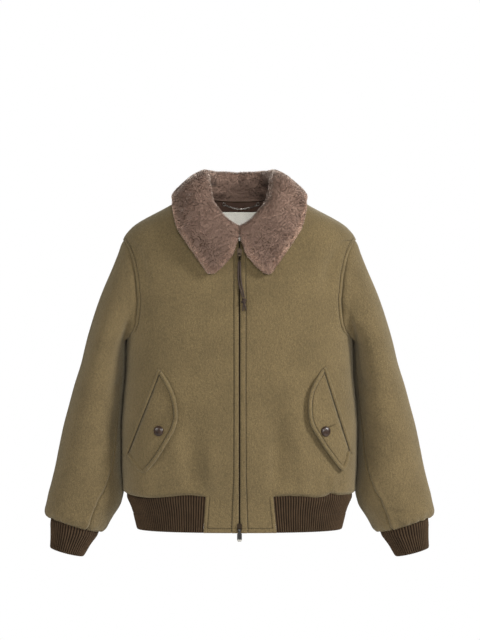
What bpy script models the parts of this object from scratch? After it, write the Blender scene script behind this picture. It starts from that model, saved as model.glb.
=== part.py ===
"""A wool jacket with a fur collar, worn by nobody: the hollow form it keeps on a figure.

Sizes are in millimetres above the hem, and make_object turns them into metres with the
origin between the shoulders, where a wearer carries the jacket. The front faces -Y.
"""

import math

import bpy
import numpy as np

MM = 0.001
ORIGIN_ABOVE_HEM = 640.0  # the height at which the wearer's shoulders carry the jacket

# Driving sizes
WOOL = 2.6  # thickness of the melton
SEAM = 0.3  # gap kept between neighbouring pieces
HEM_SEAM = 72.0  # top of the hem band
UNDERARM = 381.0
SHOULDER_POINT = 577.0
NECK_FRONT = 576.0  # bottom of the neck hole at the centre front
NECK_BACK = 659.0
NECK_SIDE = 678.0  # highest point of the shoulder, beside the neck
NECK_HALF_WIDTH = 85.0
NECK_POINTED = 1.6  # 1 makes the front of the neck hole round, 2 makes it a straight V
SIDE_Y = 5.0  # depth of the side seams and the shoulder seams
FRONT_EDGE = 2.6  # from the centre of the zip to the cloth beside it
ROUNDNESS = 2.5  # exponent of the level sections: 2 is an ellipse, more is squarer

# Level sections of the body: half width, depth in front of the side seams and behind them
BODY = {
    "height":     (0, 20, 40, 72, 100, 143, 201, 261, 319, 381, 457, 540, 577, 600, 646, 678, 700),
    "half_width": (205, 210, 215, 228, 233, 235, 236, 232, 227, 226, 229, 231, 232, 217, 139, 85, 50),
    "front":      (106, 108, 111, 117, 123, 125, 124, 122, 120, 119, 116, 107, 98, 92, 74, 60, 50),
    "back":       (108, 110, 113, 119, 126, 129, 128, 126, 124, 123, 121, 114, 108, 102, 82, 62, 50),
}  # fmt: skip

# The armhole seam: distance from the centre line at each height
ARMHOLE = {
    "height": (381, 388, 397, 412, 438, 456, 475, 498, 520, 538, 556, 569, 577),
    "front":  (226, 216, 210, 205, 202, 201, 203, 205, 209, 213, 219, 226, 232),
    "back":   (226, 219, 215, 212, 210, 209, 209, 210, 212, 215, 220, 226, 232),
}  # fmt: skip

# Sections of a sleeve from the armhole to the cuff: the outer and the inner end, how far
# the section reaches in front of and behind its middle, and the depth of that middle
SLEEVE = {
    "outer":      (232, 253, 279, 299, 315, 331, 342, 352, 361, 368, 376, 383, 387, 385, 379),
    "outer_high": (577, 524, 462, 401, 337, 286, 245, 207, 164, 128, 94, 67, 42, 30, 23),
    "inner":      (226, 227.5, 229, 230, 232, 236, 239, 240, 239.5, 237, 234, 238, 252, 268, 279),
    "inner_high": (381, 377, 371, 359, 319, 267, 224, 185, 144, 107, 77, 52, 27, 3, -7),
    "half_depth": (66, 71, 74, 75, 74, 73, 71, 69, 66, 64, 62, 61, 59, 54, 49),
    "middle":     (5, 5, 6, 8, 9, 9, 8, 6, 4, 2, 0, -2, -4, -5, -6),
    # how far the section keeps the armhole's own curve, and how far the front seam
    # has moved forward, in degrees
    "armhole":    (1, 0.62, 0.3, 0.1, 0, 0, 0, 0, 0, 0, 0, 0, 0, 0, 0),
    "seam_shift": (0, 0, 0, 0, 0, 2, 5, 10, 17, 28, 41, 49, 48, 44, 41),
}  # fmt: skip
ARM_STEPS = 11  # points from the underarm to the shoulder on each side of the armhole
ARM_TURN = 180 / ARM_STEPS
SLEEVE_CLEARANCE = 3.0  # between a hanging sleeve and the body
SLEEVE_FRONT_SEAM = 1  # counted in those steps from the underarm, along the front
SLEEVE_BACK_SEAM = 4  # and along the back

BODY_ROWS = (72, 84, 100, 125, 160, 200, 240, 280, 320, 352, 381)
RIDGE_ROWS = (0.3, 0.65, 1.0)  # shares of the shoulder seam

# Large soft folds, alike on both sides of the body: where each lies from the centre line at
# its low and at its high end, those two heights, its half width and how far it stands out
FOLDS = {
    "front":      (True, True, True, False, False, False),
    "low_across": (90, 124, 56, 66, 104, 150),
    "high_across": (76, 104, 50, 56, 88, 128),
    "low":        (72, 72, 72, 72, 72, 72),
    "high":       (300, 330, 270, 320, 300, 350),
    "half_width": (21, 20, 18, 24, 20, 24),
    "rise":       (-5.5, 3.5, 3.0, -5.0, 3.5, -4.0),
}  # fmt: skip
FOLD_LOW = 0.6  # below 1 puts a fold's highest place nearer to its low end


def smooth(xs, ys, x):
    """Reads a table of xs and ys at x along a smooth curve that never overshoots."""
    xs, ys = np.asarray(xs, float), np.asarray(ys, float)
    steps = np.diff(xs)
    slopes = np.diff(ys) / steps
    tangents = np.zeros(len(xs))
    for i in range(1, len(xs) - 1):
        if slopes[i - 1] * slopes[i] > 0:
            tangents[i] = 2 / (1 / slopes[i - 1] + 1 / slopes[i])
    tangents[0], tangents[-1] = slopes[0], slopes[-1]
    x = min(max(x, xs[0]), xs[-1])
    i = min(int(np.searchsorted(xs, x, side="right")) - 1, len(xs) - 2)
    t = (x - xs[i]) / steps[i]
    start = (1 + 2 * t) * (1 - t) ** 2 * ys[i] + t * (1 - t) ** 2 * steps[i] * tangents[i]
    end = t**2 * (3 - 2 * t) * ys[i + 1] + t**2 * (t - 1) * steps[i] * tangents[i + 1]
    return start + end


def body(column, height):
    return smooth(BODY["height"], BODY[column], height)


def fold(across, height, front):
    """How far the large folds move the cloth out at a place on the front or on the back."""
    moved = 0.0
    for on_this, start, end, low, high, half_width, rise in zip(*FOLDS.values()):
        if on_this != front or not low < height < high:
            continue
        share = (height - low) / (high - low)
        away = (abs(across) - start - (end - start) * share) / half_width
        moved += rise * math.sin(math.pi * share**FOLD_LOW) ** 2 * math.exp(-away * away)
    return moved


def body_point(angle, height, front):
    """The cloth's outer face at an angle (0 centre, 90 side) round the section at a height."""
    turn = math.radians(angle)
    power = 2 / ROUNDNESS
    x = body("half_width", height) * math.copysign(abs(math.sin(turn)) ** power, turn)
    deep = max(math.cos(turn), 0.0) ** power
    out = fold(x, height, front)
    y = -body("front", height) * deep - out if front else body("back", height) * deep + out
    return np.array([x, SIDE_Y + y, height])


def angle_at(across, height):
    """The angle at which the section at a height is this far from the centre line."""
    share = min(abs(across) / body("half_width", height), 1.0)
    return math.copysign(math.degrees(math.asin(share ** (ROUNDNESS / 2))), across)


def body_level(point):
    """Zero on the body's outer face, above zero outside it."""
    x, y, z = point
    depth = body("front", z) if y < SIDE_Y else body("back", z)
    across = (abs(x) / body("half_width", z)) ** ROUNDNESS
    return across + (abs(y - SIDE_Y) / depth) ** ROUNDNESS - 1


def body_slope(point):
    step = 0.5
    axes = np.eye(3) * step
    return np.array([body_level(point + a) - body_level(point - a) for a in axes]) / (2 * step)


def body_normal(point):
    slope = body_slope(point)
    return slope / np.linalg.norm(slope)


def clear_of_body(point, clearance):
    """The point, moved out where it would come nearer to the body than the clearance."""
    point = np.array(point, float)
    for _ in range(3):
        slope = body_slope(point)
        size = np.linalg.norm(slope)
        short = clearance - body_level(point) / size
        if short > 0:
            point += slope / size * short
    return point


def on_front(across, height, lift=0.0):
    """A point of the front's outer face, moved out by lift."""
    point = body_point(angle_at(across, height), height, True)
    return point + body_normal(point) * lift


# ---------------------------------------------------------------- meshes


def unit(vector):
    return np.asarray(vector, float) / np.linalg.norm(vector)


def make_material(name, colour, roughness, metallic=0.0):
    material = bpy.data.materials.new(name)
    material.use_nodes = True
    surface = material.node_tree.nodes["Principled BSDF"]
    surface.inputs["Base Color"].default_value = (*colour, 1.0)
    surface.inputs["Roughness"].default_value = roughness
    surface.inputs["Metallic"].default_value = metallic
    return material


def make_object(name, points, faces, look):
    """An object from points in millimetres, its faces turned outwards, in its own material."""
    points = np.asarray(points, float)
    volume = 0.0
    for face in faces:
        a = points[face[0]]
        for b, c in zip(face[1:], face[2:]):
            volume += np.dot(a, np.cross(points[b], points[c]))
    if volume < 0:
        faces = [list(reversed(face)) for face in faces]
    placed = (points - (0, 0, ORIGIN_ABOVE_HEM)) * MM
    mesh = bpy.data.meshes.new(name)
    mesh.from_pydata([tuple(p) for p in placed], [], faces)
    mesh.shade_smooth()
    mesh.set_sharp_from_angle(angle=math.radians(35))
    mesh.materials.append(make_material(name, *look))
    made = bpy.data.objects.new(name, mesh)
    bpy.context.scene.collection.objects.link(made)
    return made


def seam_order(point):
    """Ranks the points along a seam, so that both of its bands are split the same way."""
    return point[2] + 0.37 * abs(point[0]) + 0.21 * point[1]


def wall(patches):
    """Points and faces of one closed wall, from patches that pair outer with inner points.

    A patch holds two grids, rows of points. Points that coincide are joined, so patches
    grow together, and each open border gets a band across the thickness.
    """
    points, faces, index, edges = [], [], {}, set()

    def place(outer, inner):
        key = tuple(np.round(outer, 3))
        if key not in index:
            index[key] = len(points)
            points.extend((outer, inner))
        return index[key]

    for outer, inner in patches:
        ids = [[place(o, i) for o, i in zip(*rows)] for rows in zip(outer, inner)]
        for low, high in zip(ids, ids[1:]):
            for corners in zip(low, low[1:], high[1:], high):
                face = [p for k, p in enumerate(corners) if p != corners[k - 1]]
                if len(face) < 3:
                    continue
                for b, c in zip(face[1:], face[2:]):
                    faces.append([face[0], b, c])
                    faces.append([face[0] + 1, c + 1, b + 1])
                edges.update(zip(face, face[1:] + face[:1]))
    for a, b in sorted(edges):
        if (b, a) in edges:
            continue
        if seam_order(points[a]) < seam_order(points[b]):
            faces += [[b, a, a + 1], [b, a + 1, b + 1]]
        else:
            faces += [[b, a, b + 1], [a, a + 1, b + 1]]
    return points, faces


def draw_in(grid, sides, by=SEAM / 2):
    """The grid with the points of the named sides moved inwards along its surface."""
    grid = np.array(grid, float)
    if "low" in sides:
        grid[0] += [unit(b - a) * by for a, b in zip(grid[0], grid[1])]
    if "high" in sides:
        grid[-1] += [unit(b - a) * by for a, b in zip(grid[-1], grid[-2])]
    if "left" in sides:
        grid[:, 0] += [unit(row[1] - row[0]) * by for row in grid]
    if "right" in sides:
        grid[:, -1] += [unit(row[-2] - row[-1]) * by for row in grid]
    return grid


def body_grid_wall(grid, thickness=WOOL, lift=0.0, level_rows=()):
    """A patch on the body: its points moved out by lift, and the same moved in again."""
    grid = np.array(grid, float)
    normals = np.array([[body_normal(p) for p in row] for row in grid])
    for row in level_rows:
        normals[row, :, 2] = 0
        normals[row] = [unit(n) for n in normals[row]]
    return grid + normals * lift, grid + normals * (lift - thickness)


def mirrored(points):
    return [np.array(p) * (-1, 1, 1) for p in points]


# ---------------------------------------------------------------- body


def neck_table(front):
    """Angles and heights along one side of the neck hole, from the centre to the shoulder."""
    low = NECK_FRONT if front else NECK_BACK
    turns = np.radians(np.linspace(0, 90, 91))
    power = NECK_POINTED if front else 1.0
    heights = NECK_SIDE - (NECK_SIDE - low) * np.clip(np.cos(turns), 0, 1) ** power
    across = NECK_HALF_WIDTH * np.sin(turns) ** power
    return [angle_at(a, h) for a, h in zip(across, heights)], heights


def arm_height(step):
    """Height of the armhole seam, counted in steps from the underarm to the shoulder."""
    middle = (SHOULDER_POINT + UNDERARM) / 2
    return middle - (SHOULDER_POINT - UNDERARM) / 2 * math.cos(math.pi * step / ARM_STEPS)


def edge_angle(height, front):
    """Angle of a panel's outer edge: the side seam, the armhole or the shoulder seam."""
    if UNDERARM < height < SHOULDER_POINT:
        across = smooth(ARMHOLE["height"], ARMHOLE["front" if front else "back"], height)
        return angle_at(across, height)
    return 90.0


def panel_grid(front, shares, first_angle, rows=BODY_ROWS):
    """Rows of points from the hem seam to the neck, across from the centre to the edge."""
    arm = [arm_height(k) for k in range(1, ARM_STEPS + 1)]
    ridge = [SHOULDER_POINT + (NECK_SIDE - SHOULDER_POINT) * share for share in RIDGE_ROWS]
    low = NECK_FRONT if front else NECK_BACK
    edge_heights = list(rows) + arm + ridge
    climb = len(arm) + len(ridge)
    centre_heights = list(rows) + list(np.linspace(UNDERARM, low, climb + 1)[1:])
    angles, heights = neck_table(front)
    grid = []
    for centre, edge in zip(centre_heights, edge_heights):
        points = []
        for share in shares:
            top = np.interp(share * 90.0, angles, heights)
            height = centre + (edge - centre) * (top - low) / (NECK_SIDE - low)
            start = first_angle(height)
            angle = start + share * (edge_angle(edge, front) - start)
            points.append(body_point(angle, height, front))
        grid.append(points)
    return grid


FRONT_SHARES = (0, 0.067, 0.134, 0.22, 0.32, 0.42, 0.53, 0.64, 0.75, 0.85, 0.93, 1)
BLOCK_SPANS = 2  # how many of those spans the block at the hem takes
BLOCK_ROWS = (0, 24, 48, HEM_SEAM)
BLOCK_FOOT = {"left": 73.0, "right": 71.0}  # half width of the block at its foot


def front_edge(height):
    return angle_at(FRONT_EDGE, height)


def panel_wall(grid, front):
    """A panel's wall, whose edge along the armhole faces the sleeve's."""
    underarm = len(BODY_ROWS) - 1
    apart = np.array((0, -SEAM / 2 if front else SEAM / 2, 0))
    normals = {}
    for step in range(ARM_STEPS + 1):
        angle = 180 - step * ARM_TURN
        point, normal, across = armhole_seam(angle if front else -angle)
        grid[underarm + step, -1] = point + across * SEAM / 2
        if step in (0, ARM_STEPS):
            grid[underarm + step, -1] += apart
        normals[underarm + step] = normal
    outer, inner = body_grid_wall(grid, level_rows=(0,))
    for row, normal in normals.items():
        inner[row, -1] = outer[row, -1] - normal * WOOL
    return outer, inner


def block_edge(side, height):
    """How far the block beside the zip reaches from the centre line."""
    start = front_edge(HEM_SEAM)
    angle = start + FRONT_SHARES[BLOCK_SPANS] * (90 - start)
    top = body_point(angle, HEM_SEAM, True)[0]
    return float(np.interp(height, (0, HEM_SEAM), (BLOCK_FOOT[side], top)))


def front_patches(side):
    """One front, drawn on +X as the wearer's left; the right one is mirrored."""
    panel = panel_grid(True, FRONT_SHARES, front_edge)
    panel = draw_in(panel, ("right", "high"))
    panel[0, BLOCK_SPANS + 1:] = draw_in(panel, ("low",))[0, BLOCK_SPANS + 1:]
    block = []
    for height in BLOCK_ROWS:
        edge = angle_at(block_edge(side, height) - SEAM / 2, height)
        angles = np.linspace(front_edge(height), edge, BLOCK_SPANS + 1)
        block.append([body_point(a, height, True) for a in angles])
    block[-1] = list(panel[0, : BLOCK_SPANS + 1])
    return [panel_wall(panel, True), body_grid_wall(block, level_rows=(-1,))]


BACK_COLUMNS = 7


def back_patches():
    shares = [i / BACK_COLUMNS for i in range(BACK_COLUMNS + 1)]
    half = draw_in(panel_grid(False, shares, lambda height: 0.0), ("right", "low", "high"))
    turn = (-1, 1, 1)
    outer, inner = panel_wall(half, False)
    return [(outer, inner), ((outer * turn)[:, ::-1], (inner * turn)[:, ::-1])]


# ---------------------------------------------------------------- sleeves


def sleeve(column, row):
    return smooth(range(len(SLEEVE["outer"])), SLEEVE[column], row)


def section_point(outer, inner, half_depth, middle, angle):
    """A point round a section: angle 0 at its outer end, 90 in front, 180 at its inner end."""
    turn = math.radians(angle)
    centre = (np.array(outer) + inner) / 2
    reach = (np.array(outer) - inner) / 2 * math.cos(turn)
    x, z = centre + reach
    return np.array([x, middle - half_depth * math.sin(turn), z])


def armhole_point(angle):
    middle = (SHOULDER_POINT + UNDERARM) / 2
    height = middle + (SHOULDER_POINT - UNDERARM) / 2 * math.cos(math.radians(angle))
    front = math.sin(math.radians(angle)) >= 0
    across = smooth(ARMHOLE["height"], ARMHOLE["front" if front else "back"], height)
    return body_point(angle_at(across, height), height, front)


def sleeve_point(angle, row):
    def ellipse(at):
        return section_point(
            (sleeve("outer", at), sleeve("outer_high", at)),
            (sleeve("inner", at), sleeve("inner_high", at)),
            sleeve("half_depth", at), sleeve("middle", at), angle)

    drawn = sleeve("armhole", row)
    point = ellipse(row)
    if drawn > 0:
        point = point + drawn * (armhole_point(angle) - ellipse(0))
    return clear_of_body(point, SLEEVE_CLEARANCE * min(row, 1)) if row > 0 else point


def sleeve_angle(step, row, under=False):
    """Angle of a lengthwise line, counted in steps from the underarm along the front."""
    steps_round = 2 * ARM_STEPS
    front_seam = 180 - SLEEVE_FRONT_SEAM * ARM_TURN - sleeve("seam_shift", row)
    back_step = steps_round - SLEEVE_BACK_SEAM
    back_seam = 180 - back_step * ARM_TURN
    if not under:
        share = (step - SLEEVE_FRONT_SEAM) / (back_step - SLEEVE_FRONT_SEAM)
        return front_seam + share * (back_seam - front_seam)
    if step <= SLEEVE_FRONT_SEAM:
        step += steps_round
    share = (step - back_step) / (steps_round + SLEEVE_FRONT_SEAM - back_step)
    return back_seam + share * (front_seam - 360 - back_seam)


def armhole_seam(angle):
    """A point of the armhole seam, the way out of it between the faces of the panel and of
    the sleeve, and the way across it from the sleeve to the panel."""
    point = armhole_point(angle)
    of_body = body_normal(point)
    of_sleeve = sleeve_normal(angle, 0.3)
    along = unit(armhole_point(angle + 1) - armhole_point(angle - 1))
    to_sleeve = sleeve_point(angle, 0.3) - point
    to_sleeve = unit(to_sleeve - along * np.dot(to_sleeve, along))
    to_body = unit(np.cross(of_body, along))
    middle = (armhole_point(90) + armhole_point(-90)) / 2
    if np.dot(to_body, middle - point) > 0:
        to_body = -to_body
    folded = max(0.0, -np.dot(of_body, of_sleeve))
    outwards = unit(of_body + of_sleeve + folded * (to_body + to_sleeve))
    across = unit(np.cross(outwards, along))
    return point, outwards, across * np.sign(np.dot(across, to_body - to_sleeve))


def sleeve_normal(angle, row):
    last = len(SLEEVE["outer"]) - 1
    if row == 0:
        return armhole_seam(angle)[1]
    step = 0.02
    low, high = max(row - step, 0), min(row + step, last)
    along = sleeve_point(angle, high) - sleeve_point(angle, low)
    around = sleeve_point(angle + 1, row) - sleeve_point(angle - 1, row)
    normal = unit(np.cross(around, along))
    if row == last:
        down = unit(cuff_axis(0))
        normal = unit(normal - down * np.dot(normal, down))
    middle = (sleeve_point(0, row) + sleeve_point(180, row)) / 2
    return normal if np.dot(normal, sleeve_point(angle, row) - middle) > 0 else -normal


def sleeve_patch(steps, under):
    places = [[(sleeve_angle(k, r, under), r) for k in steps]
              for r in range(len(SLEEVE["outer"]))]
    grid = np.array([[sleeve_point(*place) for place in row] for row in places])
    normals = np.array([[sleeve_normal(*place) for place in row] for row in places])
    for k, (angle, _) in enumerate(places[0]):
        grid[0, k] -= armhole_seam(angle)[2] * SEAM / 2
    grid = draw_in(grid, ("high", "left", "right"))
    return [(grid, grid - normals * WOOL)]


def sleeve_pieces():
    round_steps = 2 * ARM_STEPS
    back_step = round_steps - SLEEVE_BACK_SEAM
    top = range(SLEEVE_FRONT_SEAM, back_step + 1)
    under = [k % round_steps for k in range(back_step, round_steps)]
    under += range(SLEEVE_FRONT_SEAM + 1)
    return {"sleeve_top": sleeve_patch(top, False), "sleeve_under": sleeve_patch(under, True)}


# ---------------------------------------------------------------- ribbed bands

HEM_RIBS = 144
CUFF_RIBS = 40
RIB_DEPTH = 1.3
BAND = 2.8  # thickness of the rib knit over a ridge
POINTS_PER_RIB = 2
RIB_POINTS_PER_INNER = 4
HEM_BAND_ROWS = (0, 20, 46, HEM_SEAM - SEAM / 2)

CUFF = {
    "outer":      (379, 377.5, 377.5, 378.5),
    "outer_high": (23, 0, -16, -37),
    "inner":      (279, 288, 297, 311),
    "inner_high": (-7, -19, -31, -55),
    "half_depth": (49, 46, 43, 38),
    "middle":     (-6, -7, -7.5, -8),
}  # fmt: skip


def even_steps(point_at, start, end, count):
    """Places from start to end that divide a line of points into equal lengths."""
    places = np.linspace(start, end, 361)
    line = np.array([point_at(place) for place in places])
    lengths = np.cumsum(np.linalg.norm(np.diff(line, axis=0), axis=1))
    lengths = np.concatenate([[0], lengths])
    return np.interp(np.linspace(0, lengths[-1], count + 1), lengths, places)


def ribbed(surface, normals, closed):
    """A wall with a ridge and a groove for each rib outside, and a plain, coarser inside."""
    groove = np.arange(surface.shape[1]) % POINTS_PER_RIB == 1
    outer = surface - normals * (groove * RIB_DEPTH)[None, :, None]
    inner = (surface - normals * BAND)[:, ::RIB_POINTS_PER_INNER]
    points = np.concatenate([outer.reshape(-1, 3), inner.reshape(-1, 3)])
    rows, fine, coarse = len(outer), outer.shape[1], inner.shape[1]

    def o(r, c):
        return r * fine + c % fine

    def i(r, c):
        return rows * fine + r * coarse + c % coarse

    faces = []
    spans = fine if closed else fine - 1
    for r in range(rows - 1):
        faces += [[o(r, c), o(r, c + 1), o(r + 1, c + 1), o(r + 1, c)] for c in range(spans)]
    for c in range(spans // RIB_POINTS_PER_INNER):
        faces += [[i(r, c), i(r + 1, c), i(r + 1, c + 1), i(r, c + 1)]
                  for r in range(rows - 1)]
        first = c * RIB_POINTS_PER_INNER
        beside = range(first, first + RIB_POINTS_PER_INNER + 1)
        faces.append([o(0, k) for k in reversed(beside)] + [i(0, c), i(0, c + 1)])
        faces.append([o(rows - 1, k) for k in beside] + [i(rows - 1, c + 1), i(rows - 1, c)])
    if not closed:
        for r in range(rows - 1):
            faces.append([o(r, 0), o(r + 1, 0), i(r + 1, 0), i(r, 0)])
            end, last = fine - 1, coarse - 1
            faces.append([o(r + 1, end), o(r, end), i(r, last), i(r + 1, last)])
    return points, faces


def band_point(turn, height):
    """A point round the body: turn 0 at the centre front, 90 at +X, 180 at the back."""
    if 90 < turn < 270:
        return body_point(180 - turn, height, False)
    return body_point(turn if turn <= 90 else turn - 360, height, True)


def hem_band():
    def ends(height):
        left = angle_at(block_edge("left", height) + SEAM / 2, height)
        right = angle_at(block_edge("right", height) + SEAM / 2, height)
        return left, 360 - right

    def at(share, height):
        start, end = ends(height)
        return band_point(start + share * (end - start), height)

    count = HEM_RIBS * POINTS_PER_RIB
    shares = even_steps(lambda share: at(share, HEM_SEAM / 2), 0, 1, count)
    surface = np.array([[at(share, height) for share in shares] for height in HEM_BAND_ROWS])
    normals = np.array([[body_normal(p) for p in row] for row in surface])
    normals[-1, :, 2] = 0
    normals[-1] = [unit(n) for n in normals[-1]]
    return ribbed(surface, normals, closed=False)


def cuff(column, row):
    return smooth(range(len(CUFF["outer"])), CUFF[column], row)


def cuff_axis(row):
    """The way down the cuff, square to its section."""
    across = cuff("outer", row) - cuff("inner", row)
    rise = cuff("outer_high", row) - cuff("inner_high", row)
    return unit((rise, 0, -across))


def cuff_point(angle, row):
    return section_point((cuff("outer", row), cuff("outer_high", row)),
                         (cuff("inner", row), cuff("inner_high", row)),
                         cuff("half_depth", row), cuff("middle", row), angle)


def cuff_band():
    count = CUFF_RIBS * POINTS_PER_RIB
    angles = even_steps(lambda angle: cuff_point(angle, 1), 0, 360, count)[:-1]
    rows = range(len(CUFF["outer"]))
    surface = np.array([[cuff_point(a, r) for a in angles] for r in rows])
    normals = []
    for r in rows:
        axis = cuff_axis(r)
        around = [cuff_point(a + 1, r) - cuff_point(a - 1, r) for a in angles]
        normals.append([unit(np.cross(axis, step)) for step in around])
    normals = np.array(normals)
    middle = (cuff_point(0, 0) + cuff_point(180, 0)) / 2
    if np.dot(normals[0, 0], surface[0, 0] - middle) < 0:
        normals = -normals
    surface[0] = surface[0] + cuff_axis(0) * SEAM / 2
    return ribbed(surface, normals, closed=True)


# ---------------------------------------------------------------- collar

UNDER_COLLAR = 2.0
FUR = 10.0
# The wool side of the collar at stations from the centre back to the front edge, drawn
# on +X: up the stand, over the fold and down the fall. The neck seam comes from the body.
COLLAR = {
    "station": (0, 0.2, 0.4, 0.55, 0.7, 0.85, 1.0),
    "stand": ((0, 76, 683), (47, 67, 686), (79, 8, 695), (72, -36, 681), (61, -70, 643),
              (41, -90, 612), (4, -98, 581)),
    "top": ((0, 84, 706), (45, 75, 708), (67, 13, 708), (70, -34, 695), (63, -77, 652),
            (43, -98, 622), (5, -105, 589)),
    "roll": ((0, 97, 692), (50, 89, 697), (86, 17, 698), (87, -40, 690), (77, -89, 652),
             (57, -106, 618), (5, -111, 578)),
    "fall": ((0, 104, 664), (60, 98, 668), (116, 10, 673), (111, -48, 664), (99, -94, 628),
             (76, -112, 590), (10, -114, 552)),
    "edge": ((0, 107, 624), (72, 99, 630), (129, 5, 656), (127, -53, 636), (119, -86, 600),
             (97, -104, 562), (54, -112, 496)),
}  # fmt: skip
SIDE_STATION = 0.4  # the station at the top of the shoulder seam
# Rows of the wall, counted in those lines: 0 is the neck seam, 2 the fold, 5 the free edge
COLLAR_ROWS = (0, 0.6, 1.3, 2, 2.5, 3, 3.7, 4.4, 5)
FALL_FROM = 2.4
FUR_AT_FRONT = 0.6  # share of its thickness that the fur keeps at the front edges
COLLAR_CLEARANCE = 2.5  # between the fall and the body


def neck_point(station):
    """The body's neck seam, from the centre back at 0 to the centre front at 1."""
    front = station > SIDE_STATION
    share = (1 - station) / (1 - SIDE_STATION) if front else station / SIDE_STATION
    start = angle_at(FRONT_EDGE, NECK_FRONT) if front else 0.0
    angle = start + share * (90 - start)
    angles, heights = neck_table(front)
    return body_point(angle, np.interp(angle, angles, heights), front)


def collar_point(station, row):
    """The wool side of the collar: station -1 to 1 round the neck, row 0 at the neck seam."""
    side = abs(station)
    lines = [neck_point(side)]
    for column in ("stand", "top", "roll", "fall", "edge"):
        table = np.array(COLLAR[column], float)
        lines.append(np.array([smooth(COLLAR["station"], table[:, k], side) for k in range(3)]))
    lines = np.array(lines)
    point = np.array([smooth(range(len(lines)), lines[:, k], row) for k in range(3)])
    if row > FALL_FROM:
        point = clear_of_body(point, COLLAR_CLEARANCE)
    if station < 0:
        point[0] = -point[0]
    return point


def collar_stations():
    """The stations that meet the columns of the front and back panels, left to right."""
    back = [SIDE_STATION * i / BACK_COLUMNS for i in range(BACK_COLUMNS)]
    front = [1 - (1 - SIDE_STATION) * share for share in reversed(FRONT_SHARES)]
    half = back + front
    return [-s for s in reversed(half[1:])] + half


def collar_grid():
    """The collar's wool side and its normals, which point to the fur."""
    stations = collar_stations()
    grid = np.array([[collar_point(s, row) for s in stations] for row in COLLAR_ROWS])
    normals = np.cross(np.gradient(grid, axis=1), np.gradient(grid, axis=0))
    normals /= np.linalg.norm(normals, axis=2)[:, :, None]
    if normals[0, len(stations) // 2, 1] > 0:  # the stand's fur faces the neck, which is to -Y
        normals = -normals
    for k, s in enumerate(stations):
        sign = -1 if s < 0 else 1
        normals[0, k] = -body_normal(neck_point(abs(s))) * (sign, 1, 1)
    grid = draw_in(grid, ("low",))
    return grid, normals


def fur_depth():
    """The fur's thickness at each station: less at the two front edges, which meet."""
    ends = np.clip((np.abs(collar_stations()) - 0.8) / 0.2, 0, 1)
    return FUR * (1 - (1 - FUR_AT_FRONT) * ends)


# ---------------------------------------------------------------- inside the back neck

FACING_FOOT = 638.5
FACING_HALF_WIDTH = 74.0
LABEL_HALF_WIDTH = 42.0
LABEL_FOOT = 578.0
LINING_CLOTH = 1.0  # thickness of the facing and of the label
INSIDE_BACK = -(WOOL + 2 * SEAM)


def back_place(x, height):
    """A point of the back, on the straight lines between the columns of its panel."""
    step = 90 / BACK_COLUMNS
    column = int(abs(angle_at(x, height)) // step)
    near = body_point(column * step, height, False)
    far = body_point((column + 1) * step, height, False)
    share = (abs(x) - near[0]) / (far[0] - near[0])
    return (near + (far - near) * share) * (math.copysign(1, x), 1, 1)


def inside_back(rows, half_width, columns):
    """A strip against the inside of the back, between rows given as heights or functions."""
    grid = []
    for row in rows:
        points = []
        for x in np.linspace(-half_width, half_width, columns + 1):
            height = row(x) if callable(row) else row
            points.append(back_place(x, height))
        grid.append(points)
    return wall([body_grid_wall(grid, LINING_CLOTH, INSIDE_BACK)])


def facing_top(x):
    drop = (NECK_SIDE - NECK_BACK) * math.sqrt(1 - (x / NECK_HALF_WIDTH) ** 2)
    return NECK_SIDE - drop - 1.2


CHAIN_ENDS = ((-31.7, 655.8), (37.8, 655.8))
CHAIN_SAG = 10.0
CHAIN_WIRE = 1.5
CHAIN_LIFT = INSIDE_BACK - LINING_CLOTH - CHAIN_WIRE - 2 * SEAM
RING_RADIUS = 2.9
RING_WIRE = 0.8


def tube(name, points, radius, look, cyclic=False, sides=2):
    """A round bar along points, with filled ends."""
    curve = bpy.data.curves.new(name, "CURVE")
    curve.dimensions = "3D"
    curve.bevel_depth = radius * MM
    curve.bevel_resolution = sides
    curve.use_fill_caps = not cyclic
    spline = curve.splines.new("POLY")
    spline.points.add(len(points) - 1)
    for place, point in zip(spline.points, points):
        placed = (np.array(point) - (0, 0, ORIGIN_ABOVE_HEM)) * MM
        place.co = (*placed, 1)
    spline.use_cyclic_u = cyclic
    curve.materials.append(make_material(name, *look))
    made = bpy.data.objects.new(name, curve)
    bpy.context.scene.collection.objects.link(made)
    return made


def ring(name, centre, across, upwards, half_width, half_height, wire, look):
    turns = [2 * math.pi * i / 12 for i in range(12)]
    points = [centre + np.multiply(across, half_width * math.cos(t))
              + np.multiply(upwards, half_height * math.sin(t)) for t in turns]
    return tube(name, points, wire, look, cyclic=True, sides=1)


def hanger_chain(look):
    (x0, z0), (x1, z1) = CHAIN_ENDS
    gap = RING_RADIUS + RING_WIRE + CHAIN_WIRE * 0.2
    places = np.linspace(x0 + gap, x1 - gap, 13)
    points = []
    for x in places:
        share = 2 * (x - x0) / (x1 - x0) - 1
        height = z0 - CHAIN_SAG * (1 - share * share)
        place = back_place(x, height)
        points.append(place + body_normal(place) * CHAIN_LIFT)
    tube("hanger_chain", points, CHAIN_WIRE, look)
    for name, x, z in (("chain_ring_right", x0, z0), ("chain_ring_left", x1, z1)):
        place = back_place(x, z)
        out = body_normal(place)
        across = unit(np.cross(out, (0, 0, 1)))
        ring(name, place + out * CHAIN_LIFT, across, np.cross(across, out),
             RING_RADIUS, RING_RADIUS, RING_WIRE, look)


# ---------------------------------------------------------------- pockets

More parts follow.
